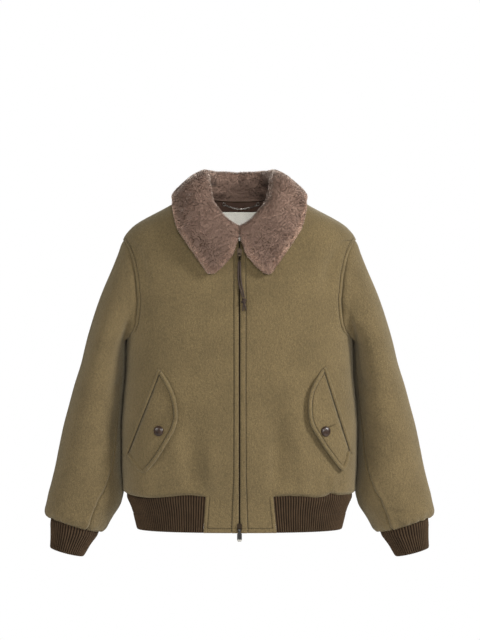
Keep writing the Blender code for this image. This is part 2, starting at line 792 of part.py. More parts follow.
# The free edge of each flap, from the top of its slanted hinge round to the foot, as
# distances from the centre line and heights, and the share of the hinge facing each point
FLAP = {
    "right": {
        "across": (153, 144, 134, 124.5, 120.4, 119.8, 125, 141, 156, 172, 184, 193, 208, 220),
        "height": (317, 305, 288, 264, 242, 227, 205, 175, 150, 129, 117, 120, 134, 148),
    },
    "left": {
        "across": (163, 155, 145, 136, 132.5, 132.8, 137, 147, 161, 177, 193, 199, 208, 217),
        "height": (322, 311, 296, 275, 252, 232, 212, 193, 170, 147, 126, 121, 131, 153),
    },
    "hinge": (0, 0.05, 0.14, 0.26, 0.37, 0.46, 0.57, 0.7, 0.81, 0.89, 0.94, 0.97, 0.99, 1),
}  # fmt: skip
FLAP_LIFT = 0.6  # between the front and the flap along its hinge
FLAP_STANDS = 3.0  # how much further its free edge stands off
FLAP_SHARES = (0, 0.3, 0.65, 1)
WELT_WIDTH = 7.0
WELT_HEIGHT = 3.0
BUTTON = {"right": (156.0, 200.0), "left": (166.0, 199.0)}
BUTTON_RADIUS = 10.2
BUTTON_HEIGHT = 6.0
BUTTON_LIFT = 5.4


def flap(side):
    across, height = FLAP[side]["across"], FLAP[side]["height"]
    top, foot = np.array((across[0], height[0])), np.array((across[-1], height[-1]))
    grid, lifts = [], []
    for x, z, share in zip(across, height, FLAP["hinge"]):
        hinge = top + (foot - top) * share
        row = [hinge + (np.array((x, z)) - hinge) * s for s in FLAP_SHARES]
        grid.append([on_front(*place) for place in row])
        reach = np.linalg.norm(np.array((x, z)) - hinge) / 60
        lifts.append([FLAP_LIFT + FLAP_STANDS * min(reach, 1) * s**2 for s in FLAP_SHARES])
    grid, lifts = np.array(grid), np.array(lifts)[:, :, None]
    normals = np.array([[body_normal(p) for p in row] for row in grid])
    return wall([(grid + normals * (lifts + WOOL), grid + normals * lifts)])


def welt(side):
    across, height = FLAP[side]["across"], FLAP[side]["height"]
    top, foot = np.array((across[0], height[0])), np.array((across[-1], height[-1]))
    along = unit(foot - top)
    outward = np.array((-along[1], along[0]))
    outward = outward * np.sign(outward[0])
    grid = []
    for share in np.linspace(0, 1, 9):
        middle = top + (foot - top) * share
        offsets = np.linspace(SEAM + 0.2, WELT_WIDTH, 4)
        grid.append([on_front(*(middle + outward * offset)) for offset in offsets])
    return wall([body_grid_wall(grid, WELT_HEIGHT, WELT_HEIGHT + FLAP_LIFT)])


def button(side):
    """A domed button, turned round the way out of the front."""
    centre = on_front(*BUTTON[side])
    out = body_normal(centre)
    centre = centre + out * BUTTON_LIFT
    along = unit(np.cross(out, (0, 0, 1)))
    up = np.cross(along, out)
    profile = ((0.9, 0), (1, 0.25), (0.9, 0.6), (0.6, 0.88), (0.25, 0.99))
    sides = 18
    points = []
    for share, rise in profile:
        for k in range(sides):
            turn = 2 * math.pi * k / sides
            reach = (along * math.cos(turn) + up * math.sin(turn)) * share * BUTTON_RADIUS
            points.append(centre + reach + out * rise * BUTTON_HEIGHT)
    faces = [list(range(sides)), list(reversed(range(4 * sides, 5 * sides)))]
    for r in range(len(profile) - 1):
        for k in range(sides):
            n = (k + 1) % sides
            faces.append([r * sides + n, r * sides + k, (r + 1) * sides + k,
                          (r + 1) * sides + n])
    return points, faces


# ---------------------------------------------------------------- zip

TEETH_HALF_WIDTH = 1.9
TEETH_DEPTH = (0.5, 3.0)  # behind the face of the fronts
TAPE_WIDTH = 13.0
TAPE = 1.0
ZIP_FOOT = 3.0
ZIP_TOP = NECK_FRONT - 4.0
SLIDER_HEIGHTS = {"top": 549.0, "bottom": 11.5}
SLIDER_LIFT = (0.5, 3.0)
# The outline of a slider's plate, on one side of its middle
SLIDER = {
    "across": (3.2, 4.6, 4.8, 4.6, 2.8),
    "up":     (-8, -1.5, 3, 6.5, 8),
}  # fmt: skip
PIN = (-4.0, 5.3)  # along the bottom slider and out from the cloth
PIN_RADIUS = 0.8
EYE_RADIUS = 1.9
EYE_BORE = 1.15
TAB_HALF_WIDTH = 4.7
TAB_NECK_HALF_WIDTH = 2.1
TAB_THICKNESS = 1.4
TAB_REACH = 23.0  # from the pin to the tab's end
CHEEK = (2.4, 3.6)  # the cheeks that hold the pin, from the middle


def zip_rows():
    climb = ARM_STEPS + len(RIDGE_ROWS)
    upper = np.linspace(UNDERARM, NECK_FRONT, climb + 1)[1:-1]
    return [ZIP_FOOT, *BLOCK_ROWS[1:-1], *BODY_ROWS, *upper, ZIP_TOP]


def zip_teeth():
    first, last = TEETH_DEPTH
    rows = [[on_front(x, z) for x in (-TEETH_HALF_WIDTH, 0, TEETH_HALF_WIDTH)]
            for z in zip_rows()]
    return wall([body_grid_wall(rows, last - first, -first)])


def zip_tape():
    """The tape behind the front on +X."""
    places = (TEETH_HALF_WIDTH + SEAM, TAPE_WIDTH)
    rows = [[on_front(x, z) for x in places] for z in zip_rows()]
    return wall([body_grid_wall(rows, TAPE, -(WOOL + 2 * SEAM))])


def front_frame(height):
    """A point on the middle of the front, and the ways across, up and out of it."""
    place = on_front(0.0, height)
    out = body_normal(place)
    return place, np.array((1.0, 0, 0)), np.cross(out, (1.0, 0, 0)), out


def prism(outline, first, last, place, ways):
    """An outline of two coordinates, drawn out from first to last along the third way."""
    flat, tall, deep = ways
    points = [place + flat * a + tall * b + deep * c for c in (first, last)
              for a, b in outline]
    count = len(outline)
    faces = [list(range(count)), list(reversed(range(count, 2 * count)))]
    faces += [[k + count, (k + 1) % count + count, (k + 1) % count, k] for k in range(count)]
    return points, faces


def rod_outline(middle, radius, sides=16):
    turns = [2 * math.pi * k / sides for k in range(sides)]
    return [(middle[0] + radius * math.cos(t), middle[1] + radius * math.sin(t))
            for t in turns]


def joined(name, look, shapes, cuts=()):
    """One solid from overlapping shapes, less the cuts."""
    first = make_object(name, *shapes[0], look)
    others = [(shape, "UNION") for shape in shapes[1:]] + [(cut, "DIFFERENCE") for cut in cuts]
    for k, (shape, operation) in enumerate(others):
        helper = make_object(f"{name}_helper_{k}", *shape, look)
        helper.hide_render = True
        helper.display_type = "WIRE"
        boolean = first.modifiers.new(operation, "BOOLEAN")
        boolean.operation = operation
        boolean.object = helper
    return first


def slider_plate(place, across, up, out):
    half = list(zip(SLIDER["across"], SLIDER["up"]))
    outline = half + [(-a, b) for a, b in reversed(half)]
    return prism(outline, *SLIDER_LIFT, place, (across, up, out))


ARCH = ((-4.4, 2.5), (-4.4, 6.2), (-3.2, 7.2), (3.8, 7.2), (5, 6.2), (5, 2.5), (3.8, 2.5),
        (3.8, 5.9), (-3.2, 5.9), (-3.2, 2.5))  # along the top slider and out from the cloth
LINK_HALF_WIDTH = 3.4
LINK_HALF_HEIGHT = 8.2
LINK_WIRE = 0.7
LINK_MIDDLE = -9.6  # along the top slider
LINK_LIFT = 4.5


def top_slider(look):
    place, across, up, out = front_frame(SLIDER_HEIGHTS["top"])
    arch = prism(ARCH, -1.0, 1.0, place, (up, out, across))
    joined("slider_top", look, [slider_plate(place, across, up, out), arch])
    middle = place + up * LINK_MIDDLE + out * LINK_LIFT
    ring("slider_link", middle, across, up, LINK_HALF_WIDTH, LINK_HALF_HEIGHT, LINK_WIRE, look)


def bottom_slider(look):
    place, across, up, out = front_frame(SLIDER_HEIGHTS["bottom"])
    cheek = [(-6, 2.5), (-6, 5.3), (-5.2, 6.6), (-2.8, 6.6), (-2, 5.3), (-2, 2.5)]
    ways = (up, out, across)
    near, far = CHEEK
    shapes = [slider_plate(place, across, up, out)]
    shapes += [prism(cheek, near, far, place, ways), prism(cheek, -far, -near, place, ways)]
    shapes.append(prism(rod_outline(PIN, PIN_RADIUS), -3.0, 3.0, place, ways))
    joined("slider_bottom", look, shapes)


def pin_place():
    place, _, up, out = front_frame(SLIDER_HEIGHTS["bottom"])
    return place + up * PIN[0] + out * PIN[1]


def pull_tab(look):
    """The hard tab, hanging straight down from the pin of the bottom slider."""
    pin = pin_place()
    x, y, z = np.array((1.0, 0, 0)), np.array((0, 1.0, 0)), np.array((0, 0, 1.0))
    wide, neck = TAB_HALF_WIDTH, TAB_NECK_HALF_WIDTH
    half = [(neck, 0), (neck, -5), (wide - 0.6, -7), (wide, -8.5), (wide, -TAB_REACH + 2.5),
            (wide - 2.2, -TAB_REACH)]
    outline = half + [(-a, b) for a, b in reversed(half)]
    plate = prism(outline, -TAB_THICKNESS / 2, TAB_THICKNESS / 2, pin, (x, z, y))
    eye = prism(rod_outline((0, 0), EYE_RADIUS), -neck + 0.05, neck - 0.05, pin, (y, z, x))
    bore = prism(rod_outline((0, 0), EYE_BORE), -neck - 1, neck + 1, pin, (y, z, x))
    return joined("pull_tab", look, [plate, eye], [bore])


# The middle line of the thong from the link down to the knot
THONG = {
    "across": (0.0, -0.4, -0.6, -0.4, 0.2, 1.4, 3.4, 5.8, 7.6),
    "height": (530.5, 522, 513, 504, 495, 486, 477.5, 469, 461.0),
    "lift":   (5.2, 5.2, 4.6, 4.2, 4.0, 4.0, 4.2, 4.6, 5.0),
    "apart":  (1.75, 1.8, 2.0, 2.1, 2.2, 2.2, 2.1, 1.9, 1.7),
}  # fmt: skip
THONG_RADIUS = 1.5
KNOT = (8.8, 454.0, 5.4)  # across, height, lift
KNOT_RADII = (5.4, 4.6, 6.6)
TAILS = ((6.2, 434.0), (13.0, 435.5))


def thong(look):
    for name, sign in (("thong_right", -1), ("thong_left", 1)):
        points = [on_front(x + sign * apart, z, lift)
                  for x, z, lift, apart in zip(*THONG.values())]
        tube(name, points, THONG_RADIUS, look)
    x, z, lift = KNOT
    centre = on_front(x, z, lift)
    shapes = [ball(centre, KNOT_RADII)]
    for tail_x, tail_z in TAILS:
        end = on_front(tail_x, tail_z, 3.4)
        start = centre + unit(end - centre) * 2
        way = unit(end - start)
        flat = unit(np.cross(way, (0, 1, 0)))
        ways = (flat, np.cross(way, flat), way)
        length = np.linalg.norm(end - start)
        shapes.append(prism(rod_outline((0, 0), THONG_RADIUS, 10), 0, length, start, ways))
    joined("thong_knot", look, shapes)


def ball(centre, radii, sides=14, rings=8):
    points, faces = [centre - (0, 0, radii[2])], []
    for r in range(1, rings):
        tilt = math.pi * r / rings
        for k in range(sides):
            turn = 2 * math.pi * k / sides
            way = (math.sin(tilt) * math.cos(turn), math.sin(tilt) * math.sin(turn),
                   -math.cos(tilt))
            points.append(centre + np.multiply(way, radii))
    points.append(centre + (0, 0, radii[2]))
    last = len(points) - 1
    for k in range(sides):
        n = (k + 1) % sides
        faces.append([0, 1 + n, 1 + k])
        faces.append([last, last - sides + k, last - sides + n])
        for r in range(rings - 2):
            low, high = 1 + r * sides, 1 + (r + 1) * sides
            faces.append([low + k, low + n, high + n, high + k])
    return points, faces


# ---------------------------------------------------------------- the jacket

OLIVE = (0.135, 0.105, 0.055)
RIB_BROWN = (0.035, 0.024, 0.017)
FUR_TAUPE = (0.16, 0.11, 0.09)
MELTON = (OLIVE, 0.95)
BROWN_CLOTH = ((0.06, 0.035, 0.025), 0.85)
CREAM = ((0.72, 0.66, 0.52), 0.8)
STEEL = ((0.6, 0.6, 0.6), 0.3, 1.0)
BRONZE = ((0.12, 0.09, 0.06), 0.35, 1.0)
LEATHER = ((0.09, 0.04, 0.02), 0.5)


def remove_everything():
    for old in list(bpy.data.objects):
        bpy.data.objects.remove(old, do_unlink=True)


def both_sides(name, points, faces, look):
    """The piece for the wearer's left on +X, and its mirror image."""
    make_object(name + "_left", points, faces, look)
    turned = [list(reversed(face)) for face in faces]
    make_object(name + "_right", mirrored(points), turned, look)


def main():
    remove_everything()
    make_object("front_left", *wall(front_patches("left")), MELTON)
    points, faces = wall(front_patches("right"))
    make_object("front_right", mirrored(points), faces, MELTON)
    make_object("back", *wall(back_patches()), MELTON)
    for name, patches in sleeve_pieces().items():
        both_sides(name, *wall(patches), MELTON)
    make_object("hem_band", *hem_band(), (RIB_BROWN, 0.9))
    both_sides("cuff", *cuff_band(), (RIB_BROWN, 0.9))
    grid, normals = collar_grid()
    under = [(grid, grid + normals * UNDER_COLLAR)]
    make_object("under_collar", *wall(under), MELTON)
    low = grid + normals * (UNDER_COLLAR + SEAM)
    pile = low + normals * fur_depth()[None, :, None]
    make_object("collar_fur", *wall([(low, pile)]), (FUR_TAUPE, 0.8))
    make_object("neck_facing", *inside_back((FACING_FOOT, 648.0, facing_top),
                                            FACING_HALF_WIDTH, 10), BROWN_CLOTH)
    make_object("neck_label", *inside_back((LABEL_FOOT, 598.0, 618.0, FACING_FOOT - SEAM),
                                           LABEL_HALF_WIDTH, 6), CREAM)
    hanger_chain(STEEL)
    for side, sign in (("left", 1), ("right", -1)):
        for name, piece, look in (("pocket_flap_", flap, MELTON), ("pocket_welt_", welt, MELTON),
                                  ("pocket_button_", button, LEATHER)):
            points, faces = piece(side)
            points = points if sign > 0 else mirrored(points)
            make_object(name + side, points, faces, look)
    both_sides("zip_tape", *zip_tape(), BROWN_CLOTH)
    make_object("zip_teeth", *zip_teeth(), BRONZE)
    top_slider(BRONZE)
    bottom_slider(BRONZE)
    pull_tab(BRONZE)
    thong(LEATHER)


main()
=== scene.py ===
"""Looks of a wool jacket with a fur collar: cloth, fur, rib knit, sewing and metal parts.

Sizes are in millimetres above the hem, and world() turns them into metres in the frame's
axes. The front faces -Y, and +X is the wearer's left.
"""

import math

import bpy
import numpy as np
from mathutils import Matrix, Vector

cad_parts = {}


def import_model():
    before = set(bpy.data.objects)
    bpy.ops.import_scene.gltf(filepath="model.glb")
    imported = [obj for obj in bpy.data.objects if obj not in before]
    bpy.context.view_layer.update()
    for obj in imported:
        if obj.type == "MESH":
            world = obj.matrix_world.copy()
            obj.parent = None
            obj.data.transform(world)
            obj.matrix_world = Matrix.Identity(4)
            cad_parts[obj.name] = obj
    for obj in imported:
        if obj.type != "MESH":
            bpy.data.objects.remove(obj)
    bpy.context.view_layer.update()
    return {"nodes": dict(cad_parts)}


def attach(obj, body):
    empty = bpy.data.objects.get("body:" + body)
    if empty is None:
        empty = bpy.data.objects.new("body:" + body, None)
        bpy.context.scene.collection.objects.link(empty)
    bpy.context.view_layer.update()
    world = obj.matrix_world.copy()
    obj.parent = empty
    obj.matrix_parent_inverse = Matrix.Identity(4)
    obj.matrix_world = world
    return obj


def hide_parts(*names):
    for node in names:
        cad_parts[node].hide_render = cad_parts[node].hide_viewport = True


MM = 0.001
ORIGIN_ABOVE_HEM = 640.0

# ---------------------------------------------------------------- the jacket's form

WOOL = 2.6  # thickness of the wool in the solids
DRESSED_WOOL = WOOL - 0.3  # and of the finer walls made here
SEAM = 0.3  # gap between sewn pieces
HEM_SEAM = 72.0  # height at which the wool ends and the ribbed band begins
UNDERARM = 381.0
SHOULDER_POINT = 577.0
ARM_MIDDLE = (SHOULDER_POINT + UNDERARM) / 2
ARM_REACH = (SHOULDER_POINT - UNDERARM) / 2
NECK_FRONT = 576.0
NECK_BACK = 659.0
NECK_SIDE = 678.0
NECK_HALF_WIDTH = 85.0
NECK_POINTED = 1.6  # power of the front neck's curve: the higher, the more it is a V
SIDE_Y = 5.0  # where the side seams run, front to back
FRONT_EDGE = 2.6  # from the centre line to the edge of a front
ROUNDNESS = 2.5  # power of the body's section: 2 is an ellipse, and more is squarer
BODY = {
    "height":     (0, 20, 40, 72, 100, 143, 201, 261, 319, 381, 457, 540, 577, 600, 646, 678, 700),
    "half_width": (205, 210, 215, 228, 233, 235, 236, 232, 227, 226, 229, 231, 232, 217, 139, 85, 50),
    "front":      (106, 108, 111, 117, 123, 125, 124, 122, 120, 119, 116, 107, 98, 92, 74, 60, 50),
    "back":       (108, 110, 113, 119, 126, 129, 128, 126, 124, 123, 121, 114, 108, 102, 82, 62, 50),
}  # fmt: skip
ARMHOLE = {
    "height": (381, 388, 397, 412, 438, 456, 475, 498, 520, 538, 556, 569, 577),
    "front":  (226, 216, 210, 205, 202, 201, 203, 205, 209, 213, 219, 226, 232),
    "back":   (226, 219, 215, 212, 210, 209, 209, 210, 212, 215, 220, 226, 232),
}  # fmt: skip
SLEEVE = {
    "outer":      (232, 253, 279, 299, 315, 331, 342, 352, 361, 368, 376, 383, 387, 385, 379),
    "outer_high": (577, 524, 462, 401, 337, 286, 245, 207, 164, 128, 94, 67, 42, 30, 23),
    "inner":      (226, 227.5, 229, 230, 232, 236, 239, 240, 239.5, 237, 234, 238, 252, 268, 279),
    "inner_high": (381, 377, 371, 359, 319, 267, 224, 185, 144, 107, 77, 52, 27, 3, -7),
    "half_depth": (66, 71, 74, 75, 74, 73, 71, 69, 66, 64, 62, 61, 59, 54, 49),
    "middle":     (5, 5, 6, 8, 9, 9, 8, 6, 4, 2, 0, -2, -4, -5, -6),
    "armhole":    (1, 0.62, 0.3, 0.1, 0, 0, 0, 0, 0, 0, 0, 0, 0, 0, 0),
    "seam_shift": (0, 0, 0, 0, 0, 2, 5, 10, 17, 28, 41, 49, 48, 44, 41),
}  # fmt: skip
ARM_STEPS = 11
ARM_TURN = 180 / ARM_STEPS
SLEEVE_CLEARANCE = 1.6
SLEEVE_HUG = 14.0  # how far the back of a sleeve hangs in behind the body
SLEEVE_FRONT_SEAM = 1
SLEEVE_BACK_SEAM = 4
BODY_ROWS = (72, 84, 100, 125, 160, 200, 240, 280, 320, 352, 381)
RIDGE_ROWS = (0.3, 0.65, 1.0)
FOLDS = {
    "front":      (True, True, True, False, False, False),
    "low_across": (90, 124, 56, 66, 104, 150),
    "high_across": (76, 104, 50, 56, 88, 128),
    "low":        (72, 72, 72, 72, 72, 72),
    "high":       (300, 330, 270, 320, 300, 350),
    "half_width": (21, 20, 18, 24, 20, 24),
    "rise":       (-5.5, 3.5, 3.0, -5.0, 3.5, -4.0),
}  # fmt: skip
FOLD_LOW = 0.6
CUFF = {
    "outer":      (379, 377.5, 377.5, 378.5),
    "outer_high": (23, 0, -16, -37),
    "inner":      (279, 288, 297, 311),
    "inner_high": (-7, -19, -31, -55),
    "half_depth": (49, 46, 43, 38),
    "middle":     (-6, -7, -7.5, -8),
}  # fmt: skip
BAND = 2.8
BLOCK_FOOT = {"left": 73.0, "right": 71.0}
BLOCK_SHARE = 0.134
COLLAR = {
    "station": (0, 0.2, 0.4, 0.55, 0.7, 0.85, 1.0),
    "stand": ((0, 76, 683), (47, 67, 686), (79, 8, 695), (72, -36, 681), (61, -70, 643),
              (41, -90, 612), (4, -98, 581)),
    "top": ((0, 84, 706), (45, 75, 708), (67, 13, 708), (70, -34, 695), (63, -77, 652),
            (43, -98, 622), (5, -105, 589)),
    "roll": ((0, 97, 692), (50, 89, 697), (86, 17, 698), (87, -40, 690), (77, -89, 652),
             (57, -106, 618), (5, -111, 578)),
    "fall": ((0, 104, 664), (60, 98, 668), (116, 10, 673), (111, -48, 664), (99, -94, 628),
             (76, -112, 590), (10, -114, 552)),
    "edge": ((0, 107, 624), (72, 99, 630), (129, 5, 656), (127, -53, 636), (119, -86, 600),
             (97, -104, 562), (54, -112, 496)),
}  # fmt: skip
SIDE_STATION = 0.4
FALL_FROM = 2.4
COLLAR_CLEARANCE = 2.5
UNDER_COLLAR = 2.0
FUR = 10.0
FUR_AT_FRONT = 0.6


def smooth(xs, ys, x):
    """Reads a table of xs and ys at x along a smooth curve that never overshoots."""
    xs, ys = np.asarray(xs, float), np.asarray(ys, float)
    steps = np.diff(xs)
    slopes = np.diff(ys) / steps
    tangents = np.zeros(len(xs))
    for i in range(1, len(xs) - 1):
        if slopes[i - 1] * slopes[i] > 0:
            tangents[i] = 2 / (1 / slopes[i - 1] + 1 / slopes[i])
    tangents[0], tangents[-1] = slopes[0], slopes[-1]
    x = np.clip(x, xs[0], xs[-1])
    i = np.clip(np.searchsorted(xs, x, side="right") - 1, 0, len(xs) - 2)
    t = (x - xs[i]) / steps[i]
    start = (1 + 2 * t) * (1 - t) ** 2 * ys[i] + t * (1 - t) ** 2 * steps[i] * tangents[i]
    end = t**2 * (3 - 2 * t) * ys[i + 1] + t**2 * (t - 1) * steps[i] * tangents[i + 1]
    return start + end


def step_up(x, low, high):
    """0 below low, 1 above high and an even curve between."""
    t = np.clip((np.asarray(x, float) - low) / (high - low), 0, 1)
    return t * t * (3 - 2 * t)


def bump(x, middle, half_width):
    """A bell: 1 at its middle and 0.37 at its half width."""
    return np.exp(-(((x - middle) / half_width) ** 2))


def stack(x, y, z):
    return np.stack(np.broadcast_arrays(x, y, z), axis=-1).astype(float)


def unit(vectors):
    vectors = np.asarray(vectors, float)
    return vectors / np.maximum(np.linalg.norm(vectors, axis=-1, keepdims=True), 1e-9)


def body(column, height):
    return smooth(BODY["height"], BODY[column], height)


def fold(across, height, front):
    """How far the cloth's large folds stand out at a place."""
    moved = 0.0
    for on_this, start, end, low, high, half_width, rise in zip(*FOLDS.values()):
        share = np.clip((height - low) / (high - low), 0, 1)
        middle = start + (end - start) * share
        lift = np.sin(np.pi * share**FOLD_LOW) ** 2 * bump(np.abs(across), middle, half_width)
        moved = moved + rise * lift * (np.asarray(front) == on_this)
    return moved


def body_point(angle, height, front):
    """The cloth's outer face at an angle (0 centre, 90 side) round the section at a height."""
    turn = np.radians(angle)
    power = 2 / ROUNDNESS
    x = body("half_width", height) * np.sign(turn) * np.abs(np.sin(turn)) ** power
    deep = np.maximum(np.cos(turn), 0.0) ** power
    out = fold(x, height, front)
    y = np.where(front, -body("front", height) * deep - out, body("back", height) * deep + out)
    return stack(x, SIDE_Y + y, height)


def angle_at(across, height):
    """The angle that body_point takes for a distance from the centre line."""
    share = np.minimum(np.abs(across) / body("half_width", height), 1.0)
    return np.sign(across) * np.degrees(np.arcsin(share ** (ROUNDNESS / 2)))


def body_level(points):
    """0 on the body's own surface, less inside it and more outside."""
    x, y, z = np.moveaxis(points, -1, 0)
    depth = np.where(y < SIDE_Y, body("front", z), body("back", z))
    across = (np.abs(x) / body("half_width", z)) ** ROUNDNESS
    return across + (np.abs(y - SIDE_Y) / depth) ** ROUNDNESS - 1


def body_slope(points):
    step = 0.5
    axes = np.eye(3) * step
    return np.stack([body_level(points + a) - body_level(points - a) for a in axes], axis=-1)


def body_normal(points):
    return unit(body_slope(points))


def clear_of_body(points, clearance):
    """The points, moved out where they are nearer to the body than the clearance."""
    points = np.array(points, float)
    for _ in range(3):
        slope = body_slope(points)
        size = np.linalg.norm(slope, axis=-1)
        short = np.maximum(clearance - body_level(points) / size, 0)
        points += slope / size[..., None] * short[..., None]
    return points


def on_body(across, height, front, lift):
    """A place on the cloth's outer face, given by its distance from the centre line and its
    height, and lifted off the cloth."""
    point = body_point(angle_at(across, height), height, front)
    return point + body_normal(point) * np.asarray(lift)[..., None]


def on_front(across, height, lift=0.0):
    return on_body(across, height, True, lift)


def on_back(across, height, lift):
    return on_body(across, height, False, lift)


def neck_table(front):
    """Angles round the body and the heights that the neck's edge has there."""
    low = NECK_FRONT if front else NECK_BACK
    turns = np.radians(np.linspace(0, 90, 181))
    power = NECK_POINTED if front else 1.0
    heights = NECK_SIDE - (NECK_SIDE - low) * np.clip(np.cos(turns), 0, 1) ** power
    across = NECK_HALF_WIDTH * np.sin(turns) ** power
    return angle_at(across, heights), heights


def arm_height(step):
    return ARM_MIDDLE - ARM_REACH * np.cos(np.pi * step / ARM_STEPS)


def armhole_across(height, front):
    return smooth(ARMHOLE["height"], ARMHOLE["front" if front else "back"], height)


def edge_angle(height, front):
    across = armhole_across(height, front)
    inside = (height > UNDERARM) & (height < SHOULDER_POINT)
    return np.where(inside, angle_at(across, height), 90.0)


def panel_heights(row, front):
    """Heights of a panel's centre and of its outer edge at a row, which may be a fraction."""
    arm = arm_height(np.arange(1, ARM_STEPS + 1))
    ridge = SHOULDER_POINT + (NECK_SIDE - SHOULDER_POINT) * np.array(RIDGE_ROWS)
    edge = np.concatenate([BODY_ROWS, arm, ridge])
    climb = len(arm) + len(ridge)
    low = NECK_FRONT if front else NECK_BACK
    centre = np.concatenate([BODY_ROWS, np.linspace(UNDERARM, low, climb + 1)[1:]])
    rows = np.arange(len(edge))
    return np.interp(row, rows, centre), np.interp(row, rows, edge)


PANEL_LAST = len(BODY_ROWS) + ARM_STEPS + len(RIDGE_ROWS) - 1


def panel_point(share, row, front, edge_across):
    """A point of the front or back panel: share 0 at the centre, 1 at the outer edge."""
    centre, edge = panel_heights(row, front)
    low = NECK_FRONT if front else NECK_BACK
    angles, heights = neck_table(front)
    top = np.interp(share * 90.0, angles, heights)
    height = centre + (edge - centre) * (top - low) / (NECK_SIDE - low)
    start = angle_at(edge_across, height)
    return body_point(start + share * (edge_angle(edge, front) - start), height, front)


def section(table, column, row):
    return smooth(range(len(table["outer"])), table[column], row)


def section_point(table, row, angle):
    """A point round a section: angle 0 at its outer end, 90 in front, 180 at its inner end."""
    outer, outer_high, inner, inner_high, half_depth, middle = (
        section(table, column, row)
        for column in ("outer", "outer_high", "inner", "inner_high", "half_depth", "middle"))
    turn = np.radians(angle)
    share = (1 + np.cos(turn)) / 2
    x = inner + (outer - inner) * share
    z = inner_high + (outer_high - inner_high) * share
    return stack(x, middle - half_depth * np.sin(turn), z)


def armhole_point(angle):
    height = ARM_MIDDLE + ARM_REACH * np.cos(np.radians(angle))
    front = np.sin(np.radians(angle)) >= 0
    across = np.where(front, armhole_across(height, True), armhole_across(height, False))
    return body_point(angle_at(across, height), height, front)


def sleeve_point(angle, row):
    """A point of a sleeve: row 0 in the armhole's seam, 14 at the cuff."""
    angle, row = np.broadcast_arrays(np.asarray(angle, float), np.asarray(row, float))
    drawn = section(SLEEVE, "armhole", row)[..., None]
    point = section_point(SLEEVE, row, angle)
    point = point + drawn * (armhole_point(angle) - section_point(SLEEVE, 0 * row, angle))
    point[..., 0] -= SLEEVE_HUG * bump(angle % 360, 212, 26) * bump(row, 6.5, 4.4)
    clear = clear_of_body(point, SLEEVE_CLEARANCE * np.minimum(row, 1))
    return np.where((row > 0)[..., None], clear, point)


def seam_out(angle):
    """The way out of the armhole seam, between the faces of the panel and of the sleeve."""
    point = armhole_point(angle)
    around = armhole_point(angle + 1) - armhole_point(angle - 1)
    of_sleeve = unit(np.cross(around, sleeve_point(angle, 0.3) - point))
    middle = (armhole_point(90.0) + armhole_point(-90.0)) / 2
    side = np.sign(np.sum(of_sleeve * (point - middle), axis=-1, keepdims=True))
    return unit(body_normal(point) + of_sleeve * side)


def sleeve_angle(step, row, under):
    """The angle round the sleeve at a step of its upper or under piece, from seam to seam."""
    steps_round = 2 * ARM_STEPS
    front_seam = 180 - SLEEVE_FRONT_SEAM * ARM_TURN - section(SLEEVE, "seam_shift", row)
    back_step = steps_round - SLEEVE_BACK_SEAM
    back_seam = 180 - back_step * ARM_TURN
    if not under:
        share = (step - SLEEVE_FRONT_SEAM) / (back_step - SLEEVE_FRONT_SEAM)
        return front_seam + share * (back_seam - front_seam)
    share = (step - back_step) / (steps_round + SLEEVE_FRONT_SEAM - back_step)
    return back_seam + share * (front_seam - 360 - back_seam)


def band_point(turn, height):
    """A point round the body: turn 0 at the centre front, 90 at +X, 180 at the back."""
    turn = np.asarray(turn, float)
    back = (turn > 90) & (turn < 270)
    angle = np.where(back, 180 - turn, np.where(turn <= 90, turn, turn - 360))
    return body_point(angle, height, ~back)


def block_edge(side, height):
    """Distance from the centre line to where a front's block meets the ribbed band."""
    start = angle_at(FRONT_EDGE, HEM_SEAM)
    top = body_point(start + BLOCK_SHARE * (90 - start), HEM_SEAM, True)[..., 0]
    return np.interp(height, (0, HEM_SEAM), (BLOCK_FOOT[side], float(top)))


def neck_point(station):
    """The neck's edge at a station of the collar: 0 at the centre back, 1 at a front's edge."""
    front = station > SIDE_STATION
    share = (1 - station) / (1 - SIDE_STATION) if front else station / SIDE_STATION
    start = float(angle_at(FRONT_EDGE, NECK_FRONT)) if front else 0.0
    angle = start + share * (90 - start)
    angles, heights = neck_table(front)
    return body_point(angle, np.interp(angle, angles, heights), front)


def collar_column(station, rows):
    """The wool side of the collar at one station, for several rows from the neck seam up."""
    side = abs(station)
    lines = [neck_point(side)]
    for column in ("stand", "top", "roll", "fall", "edge"):
        table = np.array(COLLAR[column], float)
        lines.append([smooth(COLLAR["station"], table[:, k], side) for k in range(3)])
    lines = np.array(lines, float)
    points = np.stack([smooth(range(6), lines[:, k], rows) for k in range(3)], axis=-1)
    points = np.where((rows > FALL_FROM)[:, None], clear_of_body(points, COLLAR_CLEARANCE),
                      points)
    return points * (math.copysign(1, station), 1, 1)


# ---------------------------------------------------------------- meshes


def world(points):
    return (np.asarray(points, float) - (0, 0, ORIGIN_ABOVE_HEM)) * MM


def placed(name, data):
    """A new object in the scene."""
    made = bpy.data.objects.new(name, data)
    bpy.context.scene.collection.objects.link(made)
    return made


